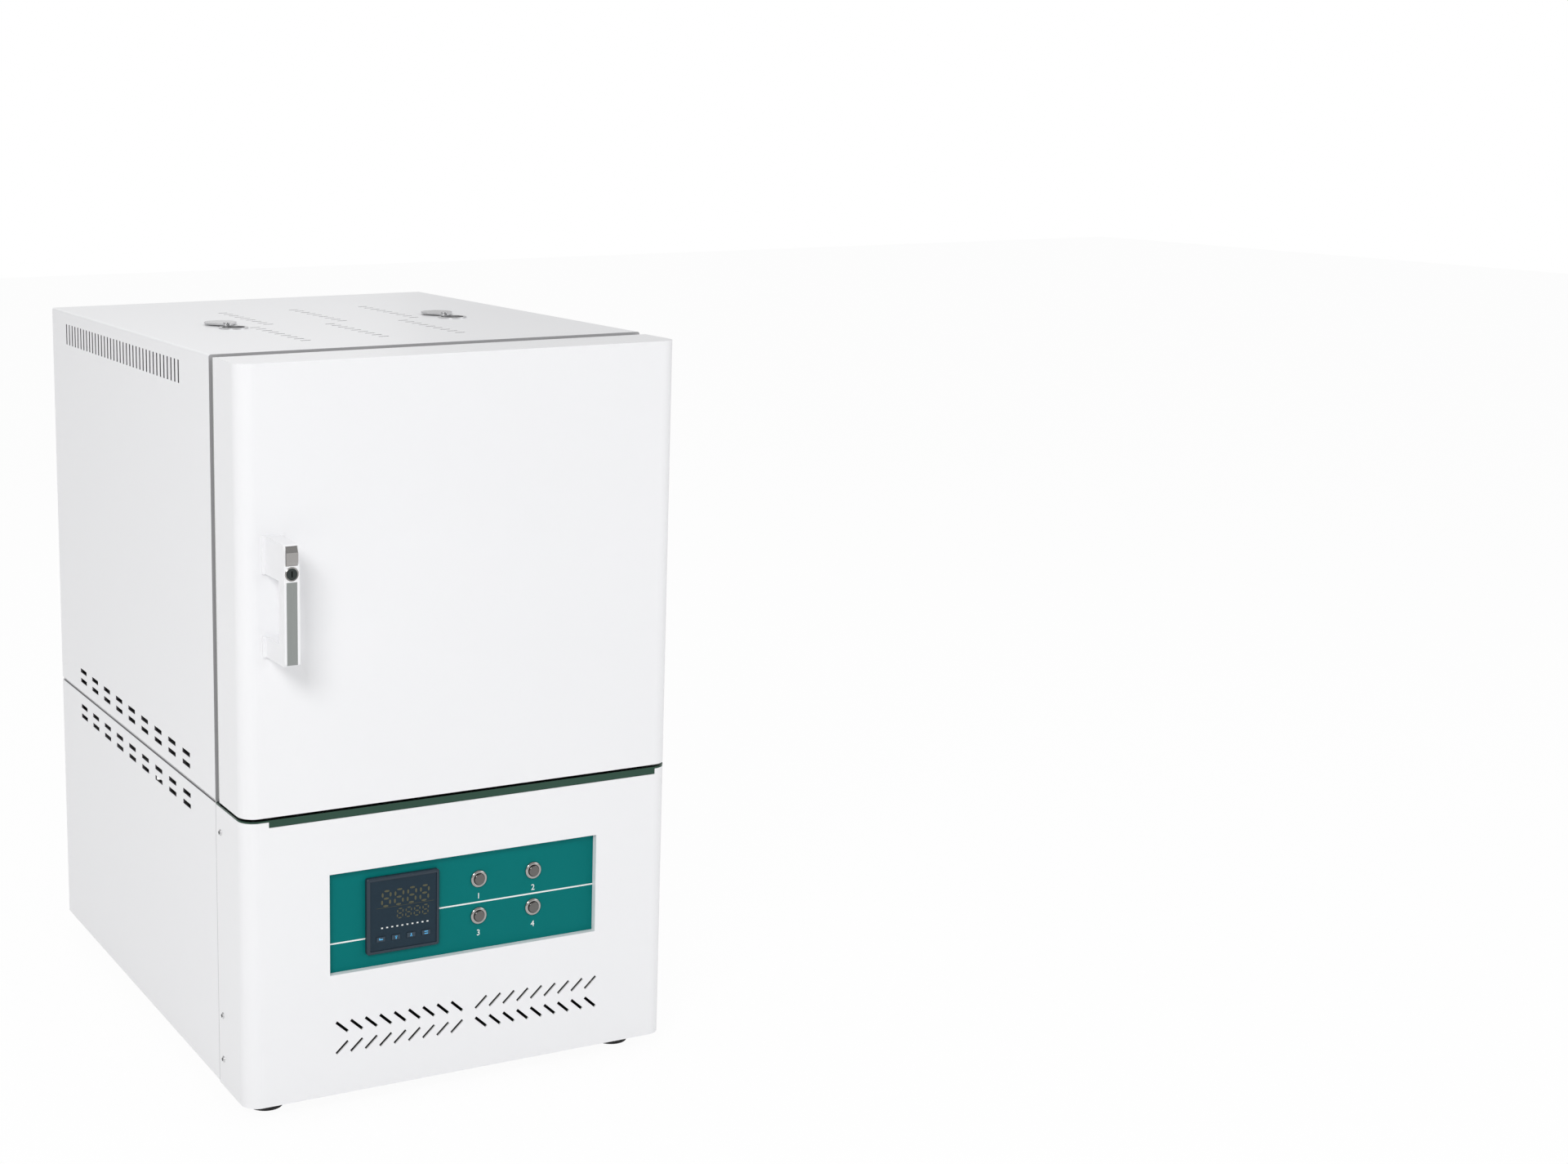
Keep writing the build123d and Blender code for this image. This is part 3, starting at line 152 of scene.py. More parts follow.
class Finish(Nodes):
    """A material with a Principled shader and the few node patterns this furnace needs."""

    def __init__(self, name, colour, rough, metal=0.0, **sockets):
        self.material = bpy.data.materials.new(name)
        self.material.use_nodes = True
        super().__init__(self.material.node_tree)
        self.shader = self.tree.nodes["Principled BSDF"]
        self.shader.inputs["Base Color"].default_value = (*colour, 1.0)
        self.shader.inputs["Roughness"].default_value = rough
        self.shader.inputs["Metallic"].default_value = metal
        for key, value in sockets.items():
            self.shader.inputs[key.replace("_", " ")].default_value = value
        self.material.diffuse_color = (*colour, 1.0)

    def place(self):
        return self.node("ShaderNodeTexCoord", out="Object")

    def axis(self, name):
        return self.node("ShaderNodeSeparateXYZ", None, {"Vector": self.place()}, out=name)

    def noise(self, scale, detail=3.0, rough=0.55, stretch=None):
        where = self.place()
        if stretch:
            where = self.node("ShaderNodeMapping", None, {"Vector": where, "Scale": stretch})
        return self.node("ShaderNodeTexNoise", None,
                         {"Vector": where, "Scale": scale, "Detail": detail, "Roughness": rough})

    def feed(self, socket, field):
        self.tree.links.new(field.socket, self.shader.inputs[socket])

    def tint(self, mask, low, high):
        """Base colour between low, where the mask is 0, and high, where it is 1."""
        self.feed("Base Color", self.node("ShaderNodeMix", {"data_type": "RGBA"},
                                          {0: mask, 6: (*low, 1.0), 7: (*high, 1.0)}, out=2))

    def roughen(self, field, low, spread):
        """Roughness from low, where the field is 0, to low plus spread, where it is 1."""
        self.feed("Roughness", field * spread + low)

    def bump(self, height, strength, distance):
        self.feed("Normal", self.node("ShaderNodeBump", None,
                                      {"Height": height, "Strength": strength, "Distance": distance}))


def toned(shade, share):
    """A shade made darker or lighter by a share, no lighter than white."""
    return tuple(min(1.0, part * share) for part in shade)


# Finishes
def powder_coat(name, shade=(0.865, 0.868, 0.885)):
    coat = Finish(name, shade, 0.34, Coat_Weight=0.18, Coat_Roughness=0.22)
    grain = coat.noise(620.0, 2.0)
    cloud = coat.noise(3.2, 3.0)
    coat.tint(cloud, toned(shade, 0.985), toned(shade, 1.012))
    coat.roughen(grain, 0.29, 0.10)
    coat.bump(grain, 0.10, 0.00012)
    return coat


def lined_coat(name):
    """The white coat with painted shade: dark grey inside the case and a lighter painted shadow on its
    front lips, but pale in the edges at its seam.
    """
    white, shade_grey = (0.867, 0.870, 0.888), (0.10, 0.095, 0.105)
    lip_shadow_share, seam_share = 0.6, 0.8
    skin, fold = 0.0003, 0.006
    lip_deep, cover_deep = 0.003, 0.0045
    seam_edge, seam_sheet = 0.0004, 0.0021
    coat = powder_coat(name)
    across, deep, high = coat.axis("X"), coat.axis("Y"), coat.axis("Z")
    side = coat.maths("MINIMUM", across - LEFT, RIGHT - across)
    end = coat.maths("MINIMUM", TOP_Z - high, high - BASE_Z)
    # Painted shade inside the case, taken mostly off the edges at its seam
    inside = (side > skin) * (end > skin) * (side + end > fold)
    inside = inside * (deep > LIP_Y + lip_deep) * (deep < BACK_Y - cover_deep)
    seam = (high > SEAM_LOW - seam_edge) * (high < SEAM_HIGH + seam_edge) * (side < seam_sheet)
    inside = inside * (1.0 - seam * seam_share)
    # Painted shadow on the front faces of the lips, in the gap round the door
    lip_shadow = (deep < LIP_Y + skin) * (deep > LIP_Y - skin)
    coat.tint(inside + lip_shadow * lip_shadow_share, white, shade_grey)
    return coat


# Polished steel whose dark base colour is a painted dark reflection; the haze varies it at random
def mirror_sheet(name, dim=(0.27, 0.285, 0.27), bright=(0.34, 0.35, 0.335)):
    steel = Finish(name, bright, 0.05, 1.0)
    haze = steel.noise(7.0, 4.0)
    wipe = steel.noise(60.0, 3.0, stretch=(1.0, 1.0, 0.12))
    steel.tint(haze, dim, bright)
    steel.feed("Roughness", haze * 0.05 + wipe * 0.03 + 0.015)
    steel.bump(steel.noise(2.6, 1.0), 0.06, 0.004)
    return steel.material


def brushed_steel(name, shade, stretch, rough=0.28):
    """Metal with fine lines that lie across the axis in which stretch is largest."""
    steel = Finish(name, shade, rough, 1.0)
    lines = steel.noise(1.0, 5.0, 0.7, stretch=stretch)
    steel.tint(lines, toned(shade, 0.86), toned(shade, 1.08))
    steel.roughen(lines, rough - 0.1, 0.22)
    steel.bump(lines, 0.12, 0.00006)
    return steel.material


def polished_plating(name, shade=(0.66, 0.66, 0.67)):
    plating = Finish(name, shade, 0.09, 1.0)
    smear = plating.noise(150.0, 3.0)
    plating.tint(smear, toned(shade, 0.93), shade)
    plating.roughen(smear, 0.05, 0.08)
    return plating.material


def zinc_plate(name, shade):
    zinc = Finish(name, shade, 0.4, 0.85)
    spangle = zinc.node("ShaderNodeTexVoronoi", None, {"Vector": zinc.place(), "Scale": 120.0},
                        out="Distance")
    zinc.tint(spangle, toned(shade, 0.82), toned(shade, 1.1))
    zinc.roughen(spangle, 0.32, 0.2)
    return zinc.material


def fibre_board(name, shade, warm):
    board = Finish(name, shade, 0.94)
    fluff = board.noise(210.0, 6.0, 0.7)
    blot = board.noise(16.0, 4.0)
    strands = board.noise(40.0, 3.0, 0.6, stretch=(1.0, 0.25, 6.0))
    board.tint(blot * 0.6 + strands * 0.4, shade, warm)
    board.roughen(fluff, 0.88, 0.08)
    board.bump(fluff * 0.6 + strands * 0.4, 0.35, 0.0006)
    return board.material


def moulded(name, shade, rough, grain=480.0, depth=0.0001):
    plastic = Finish(name, shade, rough)
    texture = plastic.noise(grain, 2.0)
    plastic.tint(plastic.noise(9.0), toned(shade, 0.9), toned(shade, 1.1))
    plastic.roughen(texture, rough - 0.07, 0.14)
    plastic.bump(texture, 0.25, depth)
    return plastic.material


def soft_rubber(name, shade):
    rubber = Finish(name, shade, 0.72)
    bloom = rubber.noise(35.0, 4.0)
    rubber.tint(bloom, shade, tuple(part * 1.9 + 0.004 for part in shade))
    rubber.roughen(bloom, 0.62, 0.2)
    rubber.bump(rubber.noise(700.0, 2.0), 0.3, 0.0001)
    return rubber.material


def heating_rod(name):
    """Dark oxide on the hot length of a rod, fading to bare metal at its top."""
    oxide, bare = (0.04, 0.036, 0.038), (0.30, 0.30, 0.31)
    fade_from, fade_rate = BASE_Z + 0.70, 40.0
    rod = Finish(name, oxide, 0.6, 0.25)
    scale = rod.noise(160.0, 5.0)
    cool = rod.node("ShaderNodeClamp", None, [(rod.axis("Z") - fade_from) * fade_rate, 0.0, 1.0])
    rod.tint(cool, oxide, bare)
    rod.roughen(scale, 0.42, 0.3)
    rod.bump(scale, 0.3, 0.0003)
    return rod.material


def printed_teal(name):
    panel = Finish(name, (0.0, 0.165, 0.160), 0.6, Specular_IOR_Level=0.08)
    grain = panel.noise(500.0, 2.0)
    panel.tint(panel.noise(5.0), (0.0, 0.150, 0.148), (0.0, 0.172, 0.168))
    panel.roughen(grain, 0.44, 0.12)
    panel.bump(grain, 0.12, 0.00005)
    return panel.material


def display_window(name):
    window = Finish(name, (0.010, 0.026, 0.042), 0.3, Specular_IOR_Level=0.2)
    dust = window.noise(90.0, 4.0)
    window.tint(dust, (0.008, 0.022, 0.036), (0.012, 0.030, 0.048))
    window.roughen(dust, 0.24, 0.12)
    return window.material


coat = powder_coat("white_powder_coat").material
painted_shade_coat = lined_coat("powder_coat_painted_shade").material
mirror = mirror_sheet("mirror_stainless")
# Sill plate: dark green base colour, a painted green reflection that also paints shade into the gap line
# above the sill
sill_painted_reflection = mirror_sheet("sill_painted_reflection", (0.035, 0.075, 0.055), (0.05, 0.10, 0.075))
stainless = brushed_steel("brushed_stainless", (0.66, 0.66, 0.67), (60.0, 60.0, 900.0))
grey_insert = brushed_steel("grey_insert", (0.36, 0.38, 0.37), (500.0, 60.0, 30.0), 0.42)
fins = brushed_steel("extruded_aluminium", (0.72, 0.72, 0.73), (30.0, 600.0, 30.0), 0.35)
plating = polished_plating("chrome_plating")
# Darker copies of the chrome plating: painted dark reflections on the thumb button, bezels and lock ring,
# darkest on the button caps
plating_painted_dark = polished_plating("button_plating", (0.40, 0.39, 0.38))
cap_plating_painted_dark = polished_plating("cap_plating_painted_dark", (0.16, 0.155, 0.15))
galvanised = zinc_plate("galvanised_sheet", (0.60, 0.61, 0.62))
yellow_zinc = zinc_plate("yellow_zinc", (0.74, 0.68, 0.55))
fibre = fibre_board("white_fibre_board", (0.90, 0.90, 0.905), (0.86, 0.855, 0.85))
chamber_fibre = fibre_board("chamber_fibre_board", (0.74, 0.735, 0.73), (0.66, 0.64, 0.62))
blanket = fibre_board("fibre_blanket", (0.78, 0.77, 0.74), (0.70, 0.68, 0.63))
seal_rubber = soft_rubber("black_seal", (0.012, 0.012, 0.013))
foot_rubber = soft_rubber("foot_rubber", (0.014, 0.014, 0.015))
rod_finish = heating_rod("heating_rod_oxide")
teal = printed_teal("teal_panel_print")
window_glass = display_window("controller_window")
controller_case = moulded("controller_case", (0.014, 0.028, 0.045), 0.5)
dark_key = moulded("dark_key", (0.020, 0.040, 0.062), 0.45)
blue_mark = moulded("blue_mark", (0.10, 0.50, 0.90), 0.45)
glazed = moulded("glazed_ceramic", (0.80, 0.77, 0.70), 0.3, 120.0)
sheath = moulded("brown_sheath", (0.13, 0.075, 0.045), 0.5, 300.0)
# Key lock: black, with a faint green tint that is a painted reflection
black_lock_painted_green_reflection = moulded("black_lock_painted_green_reflection", (0.012, 0.02, 0.018), 0.25)
winding = moulded("copper_winding", (0.42, 0.17, 0.06), 0.35, 260.0)
black_nylon = moulded("black_nylon", (0.016, 0.016, 0.017), 0.5)
white_ink = moulded("white_ink", (0.86, 0.88, 0.87), 0.5)
dim_segment = moulded("unlit_segment", (0.075, 0.074, 0.036), 0.5)
# Painted shade for the recesses in the screw heads
painted_recess_shade = moulded("screw_recess", (0.03, 0.03, 0.032), 0.6)
pale_mesh = moulded("pale_mesh", (0.36, 0.36, 0.38), 0.6, 900.0)

# The finish of each CAD node, also of those that a smoother piece replaces
DRESS = {
    "upper_case": painted_shade_coat, "lower_case": painted_shade_coat, "front_panel": coat, "rear_cover": coat, "door_shell": coat,
    "handle_body": coat, "hinge_guard": coat, "deck_plate": galvanised, "latch_bracket": galvanised,
    "latch_plate": galvanised, "transformer": galvanised, "sill_plate": sill_painted_reflection, "face_plate": mirror,
    "door_liner": mirror, "control_plate": teal, "controller_housing": controller_case,
    "controller_face": window_glass, "button_bezels": plating, "cable_gland": black_nylon,
    "base_rails": yellow_zinc, "feet": foot_rubber, "face_screws": plating, "strike": plating,
    "collar": fibre, "muffle_roof": chamber_fibre, "muffle_floor": chamber_fibre,
    "muffle_left": chamber_fibre, "muffle_right": chamber_fibre, "muffle_back": chamber_fibre,
    "insulation_jacket": blanket, "heating_elements": rod_finish, "element_holders": glazed,
    "thermocouple": sheath, "vent_rings": stainless, "vent_pivots": stainless,
    "vent_cover_1": stainless, "vent_cover_2": stainless, "gasket_frame": stainless,
    "door_gasket": seal_rubber, "door_block": fibre, "door_plug": fibre, "door_filler": blanket,
    "hinge_case_leaves": stainless, "hinge_door_leaves": stainless, "hinge_pins": stainless,
    "handle_strip": grey_insert, "lock_barrel": black_lock_painted_green_reflection, "thumb_button": plating_painted_dark,
    "liner_screws": stainless, "case_screws": stainless, "transformer_coil": winding,
    "scr_module": fins,
}
DRESS.update({key: dark_key for key in KEYS})
DRESS.update({button: plating for button in BUTTONS})
for node, finish in DRESS.items():
    shell = NODES[node]
    if not shell.data.materials:
        shell.data.materials.append(finish)
    for slot in shell.material_slots:
        slot.material = finish


# Modelling helpers
def clear_selection():
    if bpy.context.mode != "OBJECT":
        bpy.ops.object.mode_set(mode="OBJECT")
    bpy.ops.object.select_all(action="DESELECT")


def block(low, high, bevel=0.0, segments=2):
    """A cube added at its size and place, with its edges bevelled where a bevel is given."""
    low, high = Vector(low), Vector(high)
    clear_selection()
    bpy.ops.mesh.primitive_cube_add(size=1.0, location=(low + high) / 2)
    made = bpy.context.object
    made.scale = high - low
    bpy.ops.object.transform_apply(location=True, rotation=True, scale=True)
    if bevel:
        bpy.ops.object.mode_set(mode="EDIT")
        bpy.ops.mesh.select_all(action="SELECT")
        bpy.ops.mesh.bevel(offset=bevel, segments=segments, affect="EDGES")
        bpy.ops.object.mode_set(mode="OBJECT")
    return made


def copies(made, shifts):
    """Copies of one modelled piece, each with its own mesh; the first model is removed."""
    out = []
    for shift in shifts:
        twin = made.copy()
        twin.data = made.data.copy()
        scene.collection.objects.link(twin)
        twin.location = made.location + Vector(shift)
        out.append(twin)
    bpy.data.objects.remove(made)
    return out


def join(pieces):
    clear_selection()
    for piece in pieces:
        piece.select_set(True)
    bpy.context.view_layer.objects.active = pieces[0]
    if len(pieces) > 1:
        bpy.ops.object.join()
    return bpy.context.object


def finish_piece(made, name, body, material, smooth=30.0):
    """Applies a piece's place to its mesh, names and finishes it, and lets it ride on its body."""
    clear_selection()
    made.select_set(True)
    bpy.context.view_layer.objects.active = made
    bpy.ops.object.transform_apply(location=True, rotation=True, scale=True)
    made.name = made.data.name = name
    made.data.materials.clear()
    made.data.materials.append(material)
    bpy.ops.object.shade_smooth_by_angle(angle=math.radians(smooth))
    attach(made, body)
    return made


# Control panel: print lines, numbers, unlit digits, lamp row, rule and key marks
def panel_lines():
    """White print: one line on each side of the controller."""
    half_thick, line_tall = 0.00012, 0.0018
    left_end, left_up = LEFT + 0.1082, BASE_Z + 0.1874
    right_end, right_up = LEFT + 0.4678, BASE_Z + 0.2108
    near, far = PLATE_Y - half_thick, PLATE_Y + half_thick
    left = block((left_end, near, left_up), (housing_low.x, far, left_up + line_tall))
    right = block((housing_high.x, near, right_up), (right_end, far, right_up + line_tall))
    finish_piece(join([left, right]), "panel_lines", "case", white_ink)


def button_numbers():
    """Plain numbers printed under the four push-buttons."""
    number_tall, number_under, proud = 0.0105, 0.0185, 0.0001
    made = []
    for number, node in enumerate(BUTTONS, 1):
        low, high = corner(node)
        clear_selection()
        bpy.ops.object.text_add(location=((low.x + high.x) / 2, PLATE_Y - proud, low.z - number_under))
        figure = bpy.context.object
        figure.data.body = str(number)
        figure.data.size = number_tall
        figure.data.align_x = "CENTER"
        figure.data.extrude = proud
        figure.rotation_euler = (math.pi / 2, 0, 0)
        bpy.ops.object.convert(target="MESH")
        made.append(bpy.context.object)
    finish_piece(join(made), "button_numbers", "case", white_ink)


def seven_segments(name, low, high, count=4):
    """A row of unlit digits between two (x, z) corners: one hexagonal bar, copied and stretched."""
    digit_share, bar_share, slant, thick = 0.62, 0.13, 0.08, 0.0003
    pitch = (high[0] - low[0]) / count
    wide, tall = pitch * digit_share, high[1] - low[1]
    bar = tall * bar_share
    radius, joint_gap = bar / 1.7, bar * 1.3
    clear_selection()
    bpy.ops.mesh.primitive_cylinder_add(vertices=6, radius=radius, depth=thick, location=(0, 0, 0),
                                        rotation=(math.pi / 2, 0, 0))
    hexagon = bpy.context.object
    bpy.ops.object.transform_apply(location=False, rotation=True, scale=False)
    flat = [(0, up * tall / 2, False) for up in (1, 0, -1)]
    upright = [(side * wide / 2, up * tall / 4, True) for side in (-1, 1) for up in (-1, 1)]
    digit = flat + upright
    middle_z = (low[1] + high[1]) / 2
    places = [(low[0] + pitch * (index + 0.5) + across + up * slant, WINDOW_Y, middle_z + up)
              for index in range(count) for across, up, _ in digit]
    segments = copies(hexagon, places)
    for segment, (_, _, stands) in zip(segments, digit * count):
        stretch = ((tall / 2 if stands else wide) - joint_gap) / (2 * radius)
        segment.scale = (1.0, 1.0, stretch) if stands else (stretch, 1.0, 1.0)
    finish_piece(join(segments), name, "case", dim_segment)


def controller_details():
    """What shows in the dark window: two rows of digits, a rule between them and ten lamps."""
    proud, sunk = 0.0004, 0.0002
    seven_segments("upper_digits", (LEFT + 0.1745, BASE_Z + 0.2275), (LEFT + 0.2420, BASE_Z + 0.2460))
    seven_segments("lower_digits", (LEFT + 0.1955, BASE_Z + 0.2100), (LEFT + 0.2405, BASE_Z + 0.2215))
    lamp_x, lamp_z = LEFT + 0.1760, BASE_Z + 0.1993
    lamp_wide, lamp_tall, lamp_soft = 0.0025, 0.0017, 0.0003
    lamp_pitch, lamp_count = 0.0067, 10
    lamp = block((lamp_x, WINDOW_Y - proud, lamp_z),
                 (lamp_x + lamp_wide, WINDOW_Y + sunk, lamp_z + lamp_tall), lamp_soft)
    lamps = copies(lamp, [(index * lamp_pitch, 0, 0) for index in range(lamp_count)])
    finish_piece(join(lamps), "lamp_row", "case", white_ink)
    rule_left, rule_right, rule_z, rule_tall = LEFT + 0.1700, LEFT + 0.2465, BASE_Z + 0.2253, 0.0003
    rule = block((rule_left, WINDOW_Y - sunk, rule_z), (rule_right, WINDOW_Y + sunk, rule_z + rule_tall))
    finish_piece(rule, "window_rule", "case", dim_segment)


def key_marks():
    """A small blue mark on each dark key, in plain strokes."""
    unit, proud = 0.0015, 0.0001
    # Each stroke is across, up, wide and tall, in units from the middle of its key
    marks = ([(0, 0, 3.4, 0.8), (-1.3, 0.8, 0.8, 0.9)],
             [(0, 0.8, 1.8, 0.8), (0, -0.2, 0.8, 2.4)],
             [(0, -0.8, 1.8, 0.8), (0, 0.2, 0.8, 2.4)],
             [(0, 0.9, 3.2, 0.7), (0, -0.9, 3.2, 0.7)])
    for number, (key, strokes) in enumerate(zip(KEYS, marks), 1):
        low, high = corner(key)
        x, z = (low.x + high.x) / 2, (low.z + high.z) / 2
        parts = [block((x + (across - wide / 2) * unit, low.y - proud, z + (up - tall / 2) * unit),
                       (x + (across + wide / 2) * unit, low.y + proud, z + (up + tall / 2) * unit))
                 for across, up, wide, tall in strokes]
        finish_piece(join(parts), "key_mark_%d" % number, key, blue_mark)


# Turned pieces: screw heads, cap nuts, buttons, bezels and the ring round the lock
FACING = {"front": (math.pi / 2, 0, 0), "back": (-math.pi / 2, 0, 0), "left": (0, -math.pi / 2, 0),
          "right": (0, math.pi / 2, 0)}


def turned(profile, facing, sides=48):
    """A disc extruded and resized along its profile of (along, radius) points, then faced."""
    along, radius = profile[0]
    clear_selection()
    bpy.ops.mesh.primitive_circle_add(vertices=sides, radius=radius, fill_type="NGON",
                                      location=(0, 0, along))
    made = bpy.context.object
    bpy.ops.object.transform_apply(location=True, rotation=True, scale=True)
    bpy.ops.object.mode_set(mode="EDIT")
    bpy.ops.mesh.select_all(action="SELECT")
    for far, wide in profile[1:]:
        bpy.ops.mesh.extrude_region_move(TRANSFORM_OT_translate={"value": (0, 0, far - along)})
        bpy.ops.transform.resize(value=(wide / radius, wide / radius, 1), center_override=(0, 0, far))
        along, radius = far, wide
    bpy.ops.mesh.select_all(action="SELECT")
    bpy.ops.mesh.normals_make_consistent(inside=False)
    bpy.ops.object.mode_set(mode="OBJECT")
    made.rotation_euler = FACING[facing]
    bpy.ops.object.transform_apply(location=False, rotation=True, scale=False)
    return made


def dome(radius, height, low=0.0, steps=7):
    """Profile points of a low dome, from its rim to just short of its crown."""
    turns = [math.radians(90.0 * step / steps) for step in range(steps)] + [math.radians(88.0)]
    return [(low + height * math.sin(turn), radius * math.cos(turn)) for turn in turns]


def cross_marks(name, spots, body, sideways=False):
    """Dark crosses of painted shade that stand for the recesses, on heads that face the back or, sideways,
    a side.
    """
    half_long, half_thin, half_deep = 0.0021, 0.000462, 0.00018
    parts = []
    for spot in spots:
        for wide, tall in ((half_long, half_thin), (half_thin, half_long)):
            half = Vector((half_deep, wide, tall) if sideways else (wide, half_deep, tall))
            parts.append(block(Vector(spot) - half, Vector(spot) + half))
    finish_piece(join(parts), name, body, painted_recess_shade)


def screw_details():
    """Smooth domed heads in place of the flat-sided ones, each with its cross of painted recess shade."""
    head_r, head_tall, crown_under, cross_under = 0.004, 0.0022, 0.0003, 0.0002
    profile = [(0.0, head_r)] + dome(head_r, head_tall - crown_under)
    cross_at = head_tall - cross_under
    side_in, side_heights = 0.015, (0.322, 0.091, 0.035)
    rear_in, rear_low, rear_pitch, rear_count = 0.009, 0.030, 0.2075, 5
    liner_in, liner_left, liner_right = 0.0186, (0.617, 0.800, 0.430), (0.800, 0.430)

    left = [(LEFT, LIP_Y - side_in, BASE_Z + up) for up in side_heights]
    right = [(RIGHT, LIP_Y - side_in, BASE_Z + up) for up in side_heights]
    rear = [(x, BACK_Y, BASE_Z + rear_low + rear_pitch * row) for x in (LEFT + rear_in, RIGHT - rear_in)
            for row in range(rear_count)]
    heads = []
    for facing, spots in (("left", left), ("right", right), ("back", rear)):
        heads += copies(turned(profile, facing, 32), spots)
    heads = finish_piece(join(heads), "case_screw_heads", "case", stainless)
    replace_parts(heads, "case_screws")
    crosses = [(x - cross_at, y, z) for x, y, z in left] + [(x + cross_at, y, z) for x, y, z in right]
    cross_marks("panel_screw_recesses", crosses, "case", sideways=True)
    cross_marks("rear_screw_recesses", [(x, y + cross_at, z) for x, y, z in rear], "case")

    seat_y = corner("liner_screws")[0].y
    liner = [(LEFT + liner_in, seat_y, BASE_Z + up) for up in liner_left] + \
        [(RIGHT - liner_in, seat_y, BASE_Z + up) for up in liner_right]
    heads = join(copies(turned(profile, "back", 32), liner))
    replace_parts(finish_piece(heads, "liner_screw_heads", "door", stainless), "liner_screws")
    cross_marks("liner_screw_recesses", [(x, y + cross_at, z) for x, y, z in liner], "door")


def cap_nuts():
    """Domed nuts with a flange, at the four corners of the face plate."""
    flange_r, flange_side, flange_t, flange_soft = 0.006, 0.0010, 0.0014, 0.0003
    nut_r, nut_t, dome_tall = 0.0046, 0.0028, 0.0032
    profile = [(0.0, flange_r), (flange_side, flange_r), (flange_t, flange_r - flange_soft),
               (flange_t, nut_r), (nut_t, nut_r)] + dome(nut_r, dome_tall, nut_t)
    low, high = corner("face_screws")
    spots = [(x, high.y, z) for x in (low.x + flange_r, high.x - flange_r)
             for z in (low.z + flange_r, high.z - flange_r)]
    nuts = join(copies(turned(profile, "front", 32), spots))
    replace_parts(finish_piece(nuts, "cap_nuts", "case", plating, 40.0), "face_screws")


def push_buttons():
    """Slightly sunk crowned caps and domed bezels in place of the plain turned ones."""
    cap_r, bore_r, stem_r, rim_r = 0.0069, 0.0071, 0.0086, 0.011
    behind, seat = 0.010, 0.0001
    spots = []
    for number, node in enumerate(BUTTONS, 1):
        low, high = corner(node)
        spot = ((low.x + high.x) / 2, PLATE_Y, (low.z + high.z) / 2)
        spots.append(spot)
        crown = PLATE_Y - low.y
        profile = [(-behind, cap_r), (crown - 0.0009, cap_r), (crown - 0.0003, 0.0066), (crown, 0.0060),
                   (crown - 0.0004, 0.0040), (crown - 0.0006, 0.0002)]
        cap = copies(turned(profile, "front", 64), [spot])[0]
        finish_piece(cap, "button_cap_%d" % number, node, cap_plating_painted_dark, 40.0)
        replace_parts(cap, node)
    profile = [(-behind, stem_r), (-seat, stem_r), (-seat, rim_r), (0.0008, rim_r), (0.0016, 0.0106),
               (0.0023, 0.0096), (0.0025, 0.0085), (0.0022, 0.0075), (0.0015, bore_r), (-behind, bore_r)]
    rings = join(copies(turned(profile, "front", 64), spots))
    finish_piece(rings, "bezel_rings", "case", plating_painted_dark, 40.0)
    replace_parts(rings, "button_bezels")


def lock_surround():
    """Plated ring round the key lock, on the face of the handle."""
    outer_r, inner_r, sunk = 0.0082, 0.0068, 0.0005
    low, high = corner("lock_barrel")
    spot = ((low.x + high.x) / 2, corner("handle_body")[0].y, (low.z + high.z) / 2)
    profile = [(-sunk, outer_r), (0.0004, outer_r), (0.0008, 0.0077), (0.0006, inner_r), (-sunk, inner_r)]
    ring = copies(turned(profile, "front"), [spot])[0]
    finish_piece(ring, "lock_surround", "door", plating_painted_dark, 40.0)


# Heating rods
def heating_rods():
    """Round U-shaped rods: a circle drawn down one leg, spun round the bow and up the other."""
    rod_r, bow_r = 0.0035, 0.025
    low, high = corner("heating_elements")
    bow_z = low.z + rod_r + bow_r
    rods = []
    for x in (low.x + rod_r, high.x - rod_r):
        for y in (low.y + rod_r, high.y - rod_r - 2 * bow_r):
            clear_selection()
            bpy.ops.mesh.primitive_circle_add(vertices=24, radius=rod_r, location=(x, y, high.z))
            rod = bpy.context.object
            bpy.ops.object.transform_apply(location=True, rotation=True, scale=True)
            bpy.ops.object.mode_set(mode="EDIT")
            bpy.ops.mesh.select_all(action="SELECT")
            bpy.ops.mesh.extrude_region_move(TRANSFORM_OT_translate={"value": (0, 0, bow_z - high.z)})
            bpy.ops.mesh.spin(steps=20, angle=math.pi, center=(x, y + bow_r, bow_z), axis=(-1, 0, 0))
            bpy.ops.mesh.extrude_region_move(TRANSFORM_OT_translate={"value": (0, 0, high.z - bow_z)})
            bpy.ops.mesh.select_all(action="SELECT")
            bpy.ops.mesh.fill_holes(sides=0)
            bpy.ops.mesh.normals_make_consistent(inside=False)
            bpy.ops.object.mode_set(mode="OBJECT")
            rods.append(rod)
    made = finish_piece(join(rods), "round_rods", "case", rod_finish, 40.0)
    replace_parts(made, "heating_elements")


# Pale fly mesh behind the tall side grilles
def grille_mesh():
    thick, left_in, right_in = 0.0008, 0.0024, 0.0032
    front, rear, bottom, top = LIP_Y + 0.094, LIP_Y + 0.581, BASE_Z + 0.838, BASE_Z + 0.880
    parts = [block((x, front, bottom), (x + thick, rear, top)) for x in (LEFT + left_in, RIGHT - right_in)]
    finish_piece(join(parts), "grille_mesh", "case", pale_mesh)


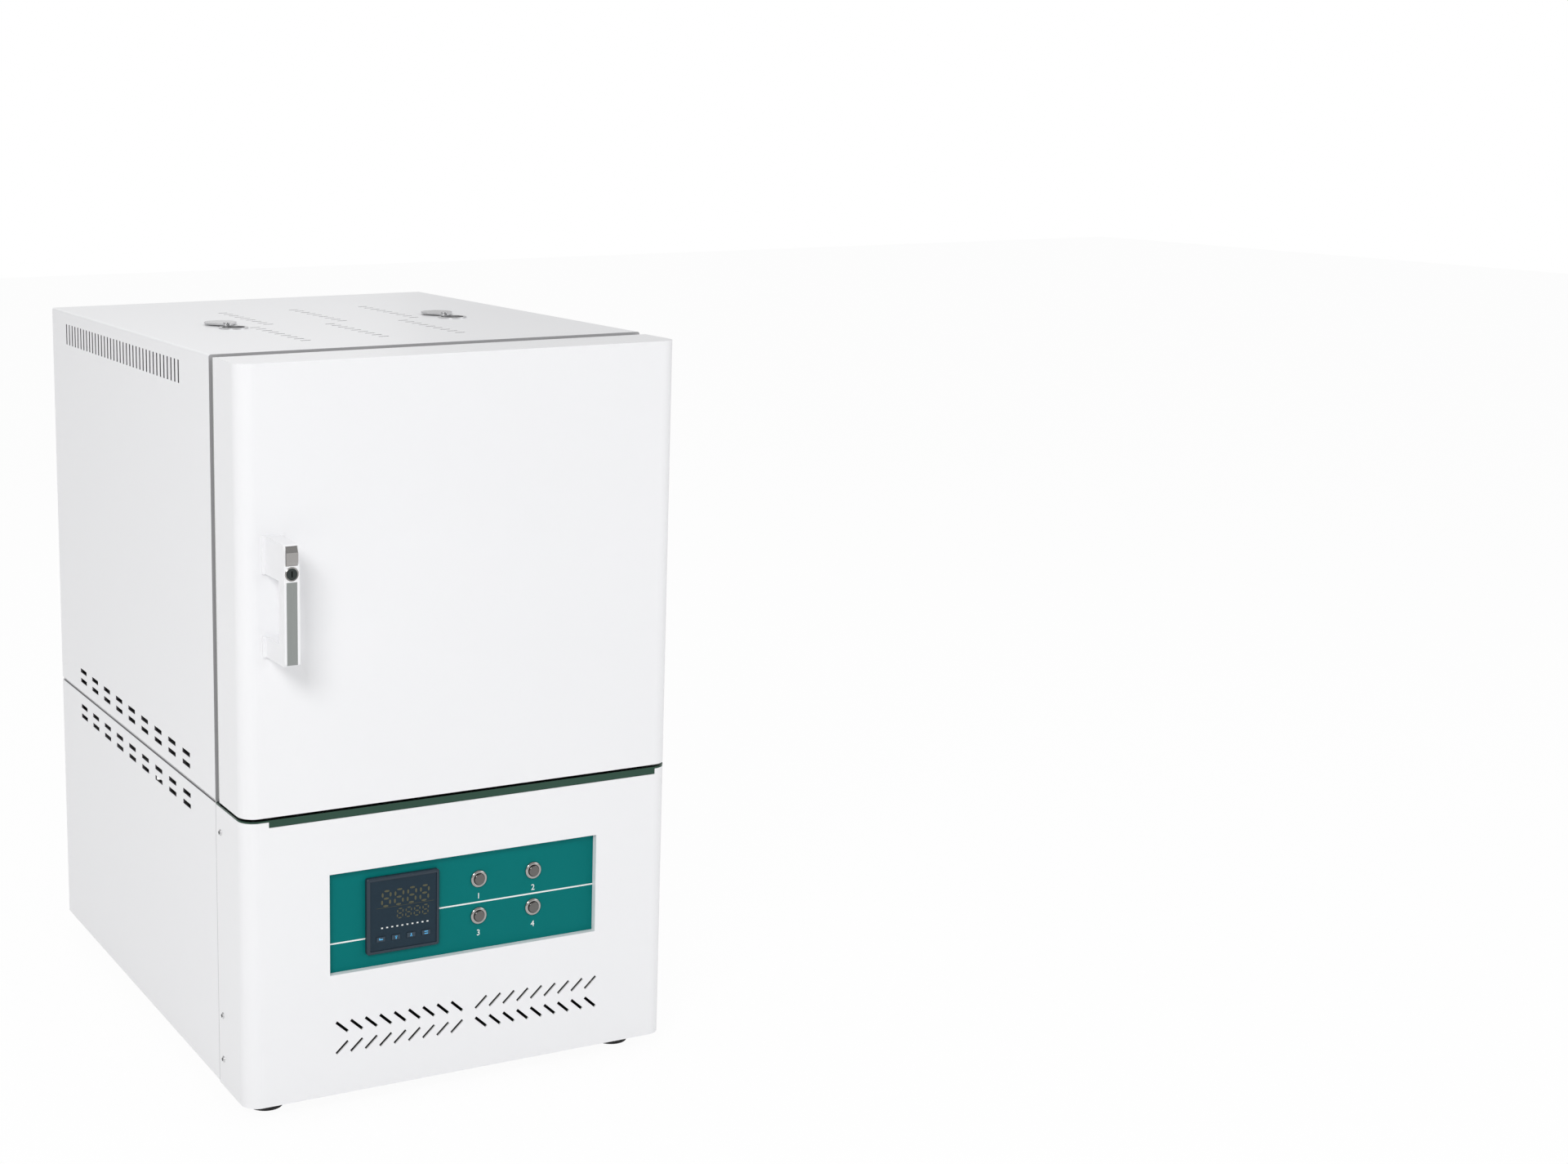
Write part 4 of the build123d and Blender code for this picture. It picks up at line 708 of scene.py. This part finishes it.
# Stage and light
def stage_floor():
    """A pale floor that looks bright to the camera and in gloss, and keeps a faint shadow."""
    floor_wide, glow_seen, glow_in_gloss = 24.0, 0.95, 0.75
    clear_selection()
    bpy.ops.mesh.primitive_plane_add(size=floor_wide, location=(0, 0, 0))
    floor = bpy.context.object
    floor.name = floor.data.name = "studio_floor"
    paper = Finish("studio_paper", (0.94, 0.94, 0.94), 0.9)
    seen = paper.node("ShaderNodeLightPath", out="Is Camera Ray")
    glossy = paper.node("ShaderNodeLightPath", out="Is Glossy Ray")
    glow = paper.node("ShaderNodeEmission", None, {"Color": (1, 1, 1, 1), "Strength": 1.0})
    share = paper.maths("MAXIMUM", seen * glow_seen, glossy * glow_in_gloss)
    mixed = paper.node("ShaderNodeMixShader", None,
                       {0: share, 1: Field(paper, paper.shader.outputs[0]), 2: glow})
    output = paper.tree.nodes["Material Output"]
    paper.tree.links.new(mixed.socket, output.inputs["Surface"])
    floor.data.materials.append(paper.material)


def studio_light():
    """An even white world, at full strength only where it is seen, and four soft lamps."""
    world_level, seen_level = 0.56, 1.0
    world = bpy.data.worlds.new("studio_world")
    world.use_nodes = True
    scene.world = world
    sky = Nodes(world.node_tree)
    back = sky.tree.nodes["Background"]
    back.inputs["Color"].default_value = (1.0, 1.0, 1.0, 1.0)
    seen = sky.node("ShaderNodeLightPath", out="Is Camera Ray")
    through = sky.node("ShaderNodeLightPath", out="Is Transmission Ray")
    level = sky.node("ShaderNodeMapRange", None, {"Value": sky.maths("MAXIMUM", seen, through),
                                                  "To Min": world_level, "To Max": seen_level})
    sky.tree.links.new(level.socket, back.inputs["Strength"])
    for name, place, aim, size, power, tone in (
            ("key_softbox", (-2.6, -3.2, 3.0), (0, 0, 0.5), 1.5, 84.0, (1.0, 0.995, 0.985)),
            ("fill_softbox", (3.2, -2.4, 2.0), (0, 0, 0.5), 2.6, 26.0, (0.985, 0.99, 1.0)),
            ("top_softbox", (0.0, 0.4, 3.4), (0, 0, 0.5), 2.2, 12.0, (1.0, 1.0, 1.0)),
            ("back_softbox", (0.5, 3.4, 2.4), (0, 0, 0.6), 2.4, 7.0, (1.0, 1.0, 1.0))):
        lamp = bpy.data.lights.new(name, "AREA")
        lamp.shape, lamp.size, lamp.size_y = "RECTANGLE", size, size * 0.8
        lamp.energy, lamp.color = power, tone
        holder = bpy.data.objects.new(name, lamp)
        scene.collection.objects.link(holder)
        holder.location = place
        holder.rotation_euler = (Vector(aim) - Vector(place)).to_track_quat("-Z", "Y").to_euler()
    scene.view_settings.view_transform = "Standard"


place_camera()
studio_light()
stage_floor()
panel_lines()
button_numbers()
controller_details()
screw_details()
cap_nuts()
push_buttons()
lock_surround()
heating_rods()
key_marks()
grille_mesh()

clear_selection()
